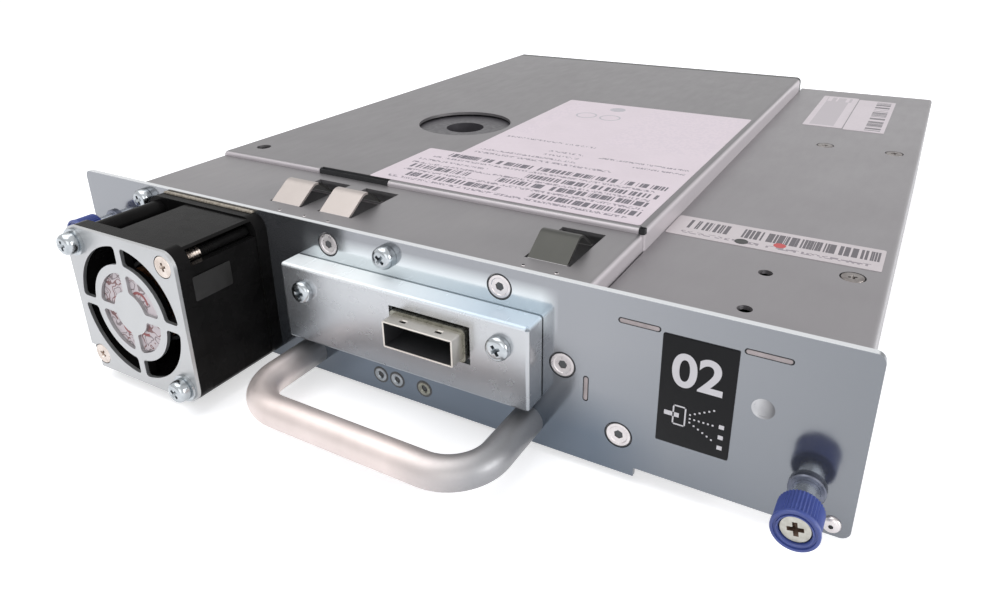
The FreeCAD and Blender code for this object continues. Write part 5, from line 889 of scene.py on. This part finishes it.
for side, recess_turn in (("left", 35), ("right", 12)):
    low, high = (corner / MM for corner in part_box(f"{side}_thumb_knob"))
    middle = (low + high) / 2
    base = (middle.x, high.y, middle.z)
    knob = turned(f"{side}_knob", base,
                  [(3.9, 0.0), (4.2, 0.25), (4.2, 5.6), (4.34, 5.75), (4.34, 6.3), (4.2, 6.5), (3.75, 6.5),
                   (3.68, 6.2), (3.35, 6.2), (3.28, 6.42), (3.05, 6.42), (2.9, 6.2), (2.87, 0.5)], ribs * 2)
    bpy.ops.object.mode_set(mode="EDIT")
    pick(knob, "verts", lambda vertex, place: high.y - 5.65 < place.y < high.y - 0.2
         and math.hypot(place.x - middle.x, place.z - middle.z) > 4.0
         and round(math.atan2(place.z - middle.z, place.x - middle.x) / math.pi * ribs) % 2)
    bpy.ops.transform.resize(value=(0.94, 1, 0.94), center_override=middle * MM)
    end(knob, blue, "knob_blue", f"{side}_screw", f"{side}_thumb_knob", angle=20)
    front, tip = (corner.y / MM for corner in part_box(f"{side}_thumb_screw"))
    reach, root_depth = high.y - front, high.y - tip
    screw = turned(f"{side}_screw_shank", base,
                   [(1.1, root_depth), (1.5, root_depth + 0.5), (1.5, -9.2), (2.35, -9.0), (2.5, -8.8),
                    (2.5, 0.6), (2.85, 0.6), (2.85, reach - 0.25), (2.65, reach), (0.5, reach)], 48)
    cross_recess(screw, (middle.x, front, middle.z), 2.25, 1.3, recess_turn)
    zoned(screw, shank_tone, (head_tone, lambda face_middle: face_middle.y < front + 0.3),
          (socket_tone, within([(*base, 0)], 2.4, front + 0.15)))
    end(screw, None, "steel", f"{side}_screw", f"{side}_thumb_screw")

# Countersunk cross-recess screws of the side compartment's cover, darker than their neighbours,
# driven from above into the posts.


def stand_up(piece, place):
    """Turn a piece made along Y to stand upright on its place."""
    bpy.ops.object.select_all(action="DESELECT")
    piece.select_set(True)
    bpy.ops.transform.rotate(value=math.radians(90), orient_axis="X", center_override=Vector(place) * MM)
    bpy.ops.object.transform_apply(location=True, rotation=True, scale=True)


dull_steel = coat("dull_screw_steel", (500, (0.14, 0.12, 0.115), (0.27, 0.25, 0.24)), 0.9, (1200, 0.28, 0.42))
wing_places = [(x, y, wing_top, 0) for x, y in ((97.3, -61.45), (97.3, 47.35), (75.14, 47.35))]
screw = turned("wing_screw_heads", wing_places[0][:3],
               [(1.2, -6.0), (1.2, -1.6), (2.6, -0.15), (2.5, 0.0), (0.5, 0.0)])
cross_recess(screw, wing_places[0][:3], 1.6, 1.0, 20)
stand_up(screw, wing_places[0][:3])
copied(screw, wing_places)
end(screw, dull_steel, "steel", "sled", "wing_screws")
finish_nodes(dull_steel, "wing_screws")

# Pierced nubs of the bracket's top, each a low turned-up rim round a hole of painted shade, in a
# row near the panel.
bracket_top = 39.8
nub_places = [(x, y, bracket_top, 0)
              for x, y in ((-41.0, -99.6), (-32.0, -99.8), (-23.8, -100.0), (32.9, -99.5), (41.3, -99.8))]
nub = turned("bracket_nubs", nub_places[0][:3],
             [(0.5, -0.2), (0.48, 0.06), (0.38, 0.16), (0.26, 0.1), (0.24, -0.3)], 16)
stand_up(nub, nub_places[0][:3])
copied(nub, nub_places)
# Painted shade in each nub's hole.
zoned(nub, stud_tone, (hollow_shade, lambda middle: any(
    math.hypot(middle.x - x, middle.y - y) < 0.36 for x, y, _, _ in nub_places)))
end(nub, None, "steel", "sled")

# Dark plates of painted shade in the slot and the corner notch of the drive's top cover, set in
# below its top, each with a sunk upper face.
shade_plate_top = drive_top - 0.15
for name, left, right, near, far, low in (("seam_shade_plate", -53.2, -27.4, -70.35, -68.5, 39.4),
                                          ("notch_shade_plate", 49.2, 50.7, -70.35, -68.8, 39.7)):
    shade_plate = block(name, (left, near, low), (right, far, shade_plate_top))
    pick(shade_plate, "faces", lambda face, _: face.normal.z > 0.9)
    bpy.ops.mesh.inset(thickness=0.12 * MM)
    bpy.ops.mesh.extrude_region_move(TRANSFORM_OT_translate={"value": (0, 0, -1.2 * MM)})
    end(shade_plate, hollow_shade, "insulator", "sled")

# Studio: a pale floor under the sled, a pale surround, a broad lamp overhead, a soft fill in
# front and a lamp at the right. Floor and surround look white only where they are seen directly.


def seen_directly(tree):
    """1 where the camera, a reflection or a refraction sees the surface."""
    path = add_node(tree, "LightPath")
    total = path.outputs["Is Camera Ray"]
    for ray in ("Is Glossy Ray", "Is Transmission Ray"):
        total = add_node(tree, "Math", {0: total, 1: path.outputs[ray]}, use_clamp=True).outputs[0]
    return total


def lamp(name, place, target, size, power):
    """A square area lamp at a place, facing its target."""
    light = bpy.data.objects.new(name, bpy.data.lights.new(name, "AREA"))
    bpy.context.scene.collection.objects.link(light)
    light.data.size = size
    light.data.energy = power
    light.location = place
    light.rotation_euler = (Vector(target) - Vector(place)).to_track_quat("-Z", "Y").to_euler()


floor_gap = 0.0001
bpy.ops.object.select_all(action="DESELECT")
bpy.ops.mesh.primitive_plane_add(size=6.0, location=(0, 0, cad_box[0][2] - floor_gap))
floor = bpy.context.object
floor.name = "floor"
pale = coat("pale_floor", (0.86, 0.86, 0.87), 0.0, 0.9)
glow = add_node(pale.node_tree, "Math", {0: seen_directly(pale.node_tree), 1: 0.56}, operation="MULTIPLY")
pale.node_tree.links.new(glow.outputs[0], shader_of(pale).inputs["Emission Strength"])
shader_of(pale).inputs["Emission Color"].default_value = (1, 1, 1, 1)
floor.data.materials.append(pale)

world = bpy.data.worlds.new("surround")
bpy.context.scene.world = world
world.use_nodes = True
tree = world.node_tree
surround = tree.nodes["Background"]
surround.inputs["Color"].default_value = (0.92, 0.95, 1.0, 1)
surround.inputs["Strength"].default_value = 0.5
white = add_node(tree, "Background", {"Color": (1, 1, 1, 1)})
mixed = add_node(tree, "MixShader", {0: seen_directly(tree), 1: surround.outputs[0], 2: white.outputs[0]})
tree.links.new(mixed.outputs[0], tree.nodes["World Output"].inputs["Surface"])
lamp("overhead", (-0.25, -0.2, 0.9), (0, 0, 0), 0.9, 5.2)
lamp("front_fill", (0.5, -0.9, 0.4), (0, -0.1, 0), 0.7, 2.0)
lamp("right_side", (1.0, 0.0, 0.3), (0, -0.05, 0.03), 0.4, 5.0)

bpy.context.scene.view_settings.view_transform = "Standard"
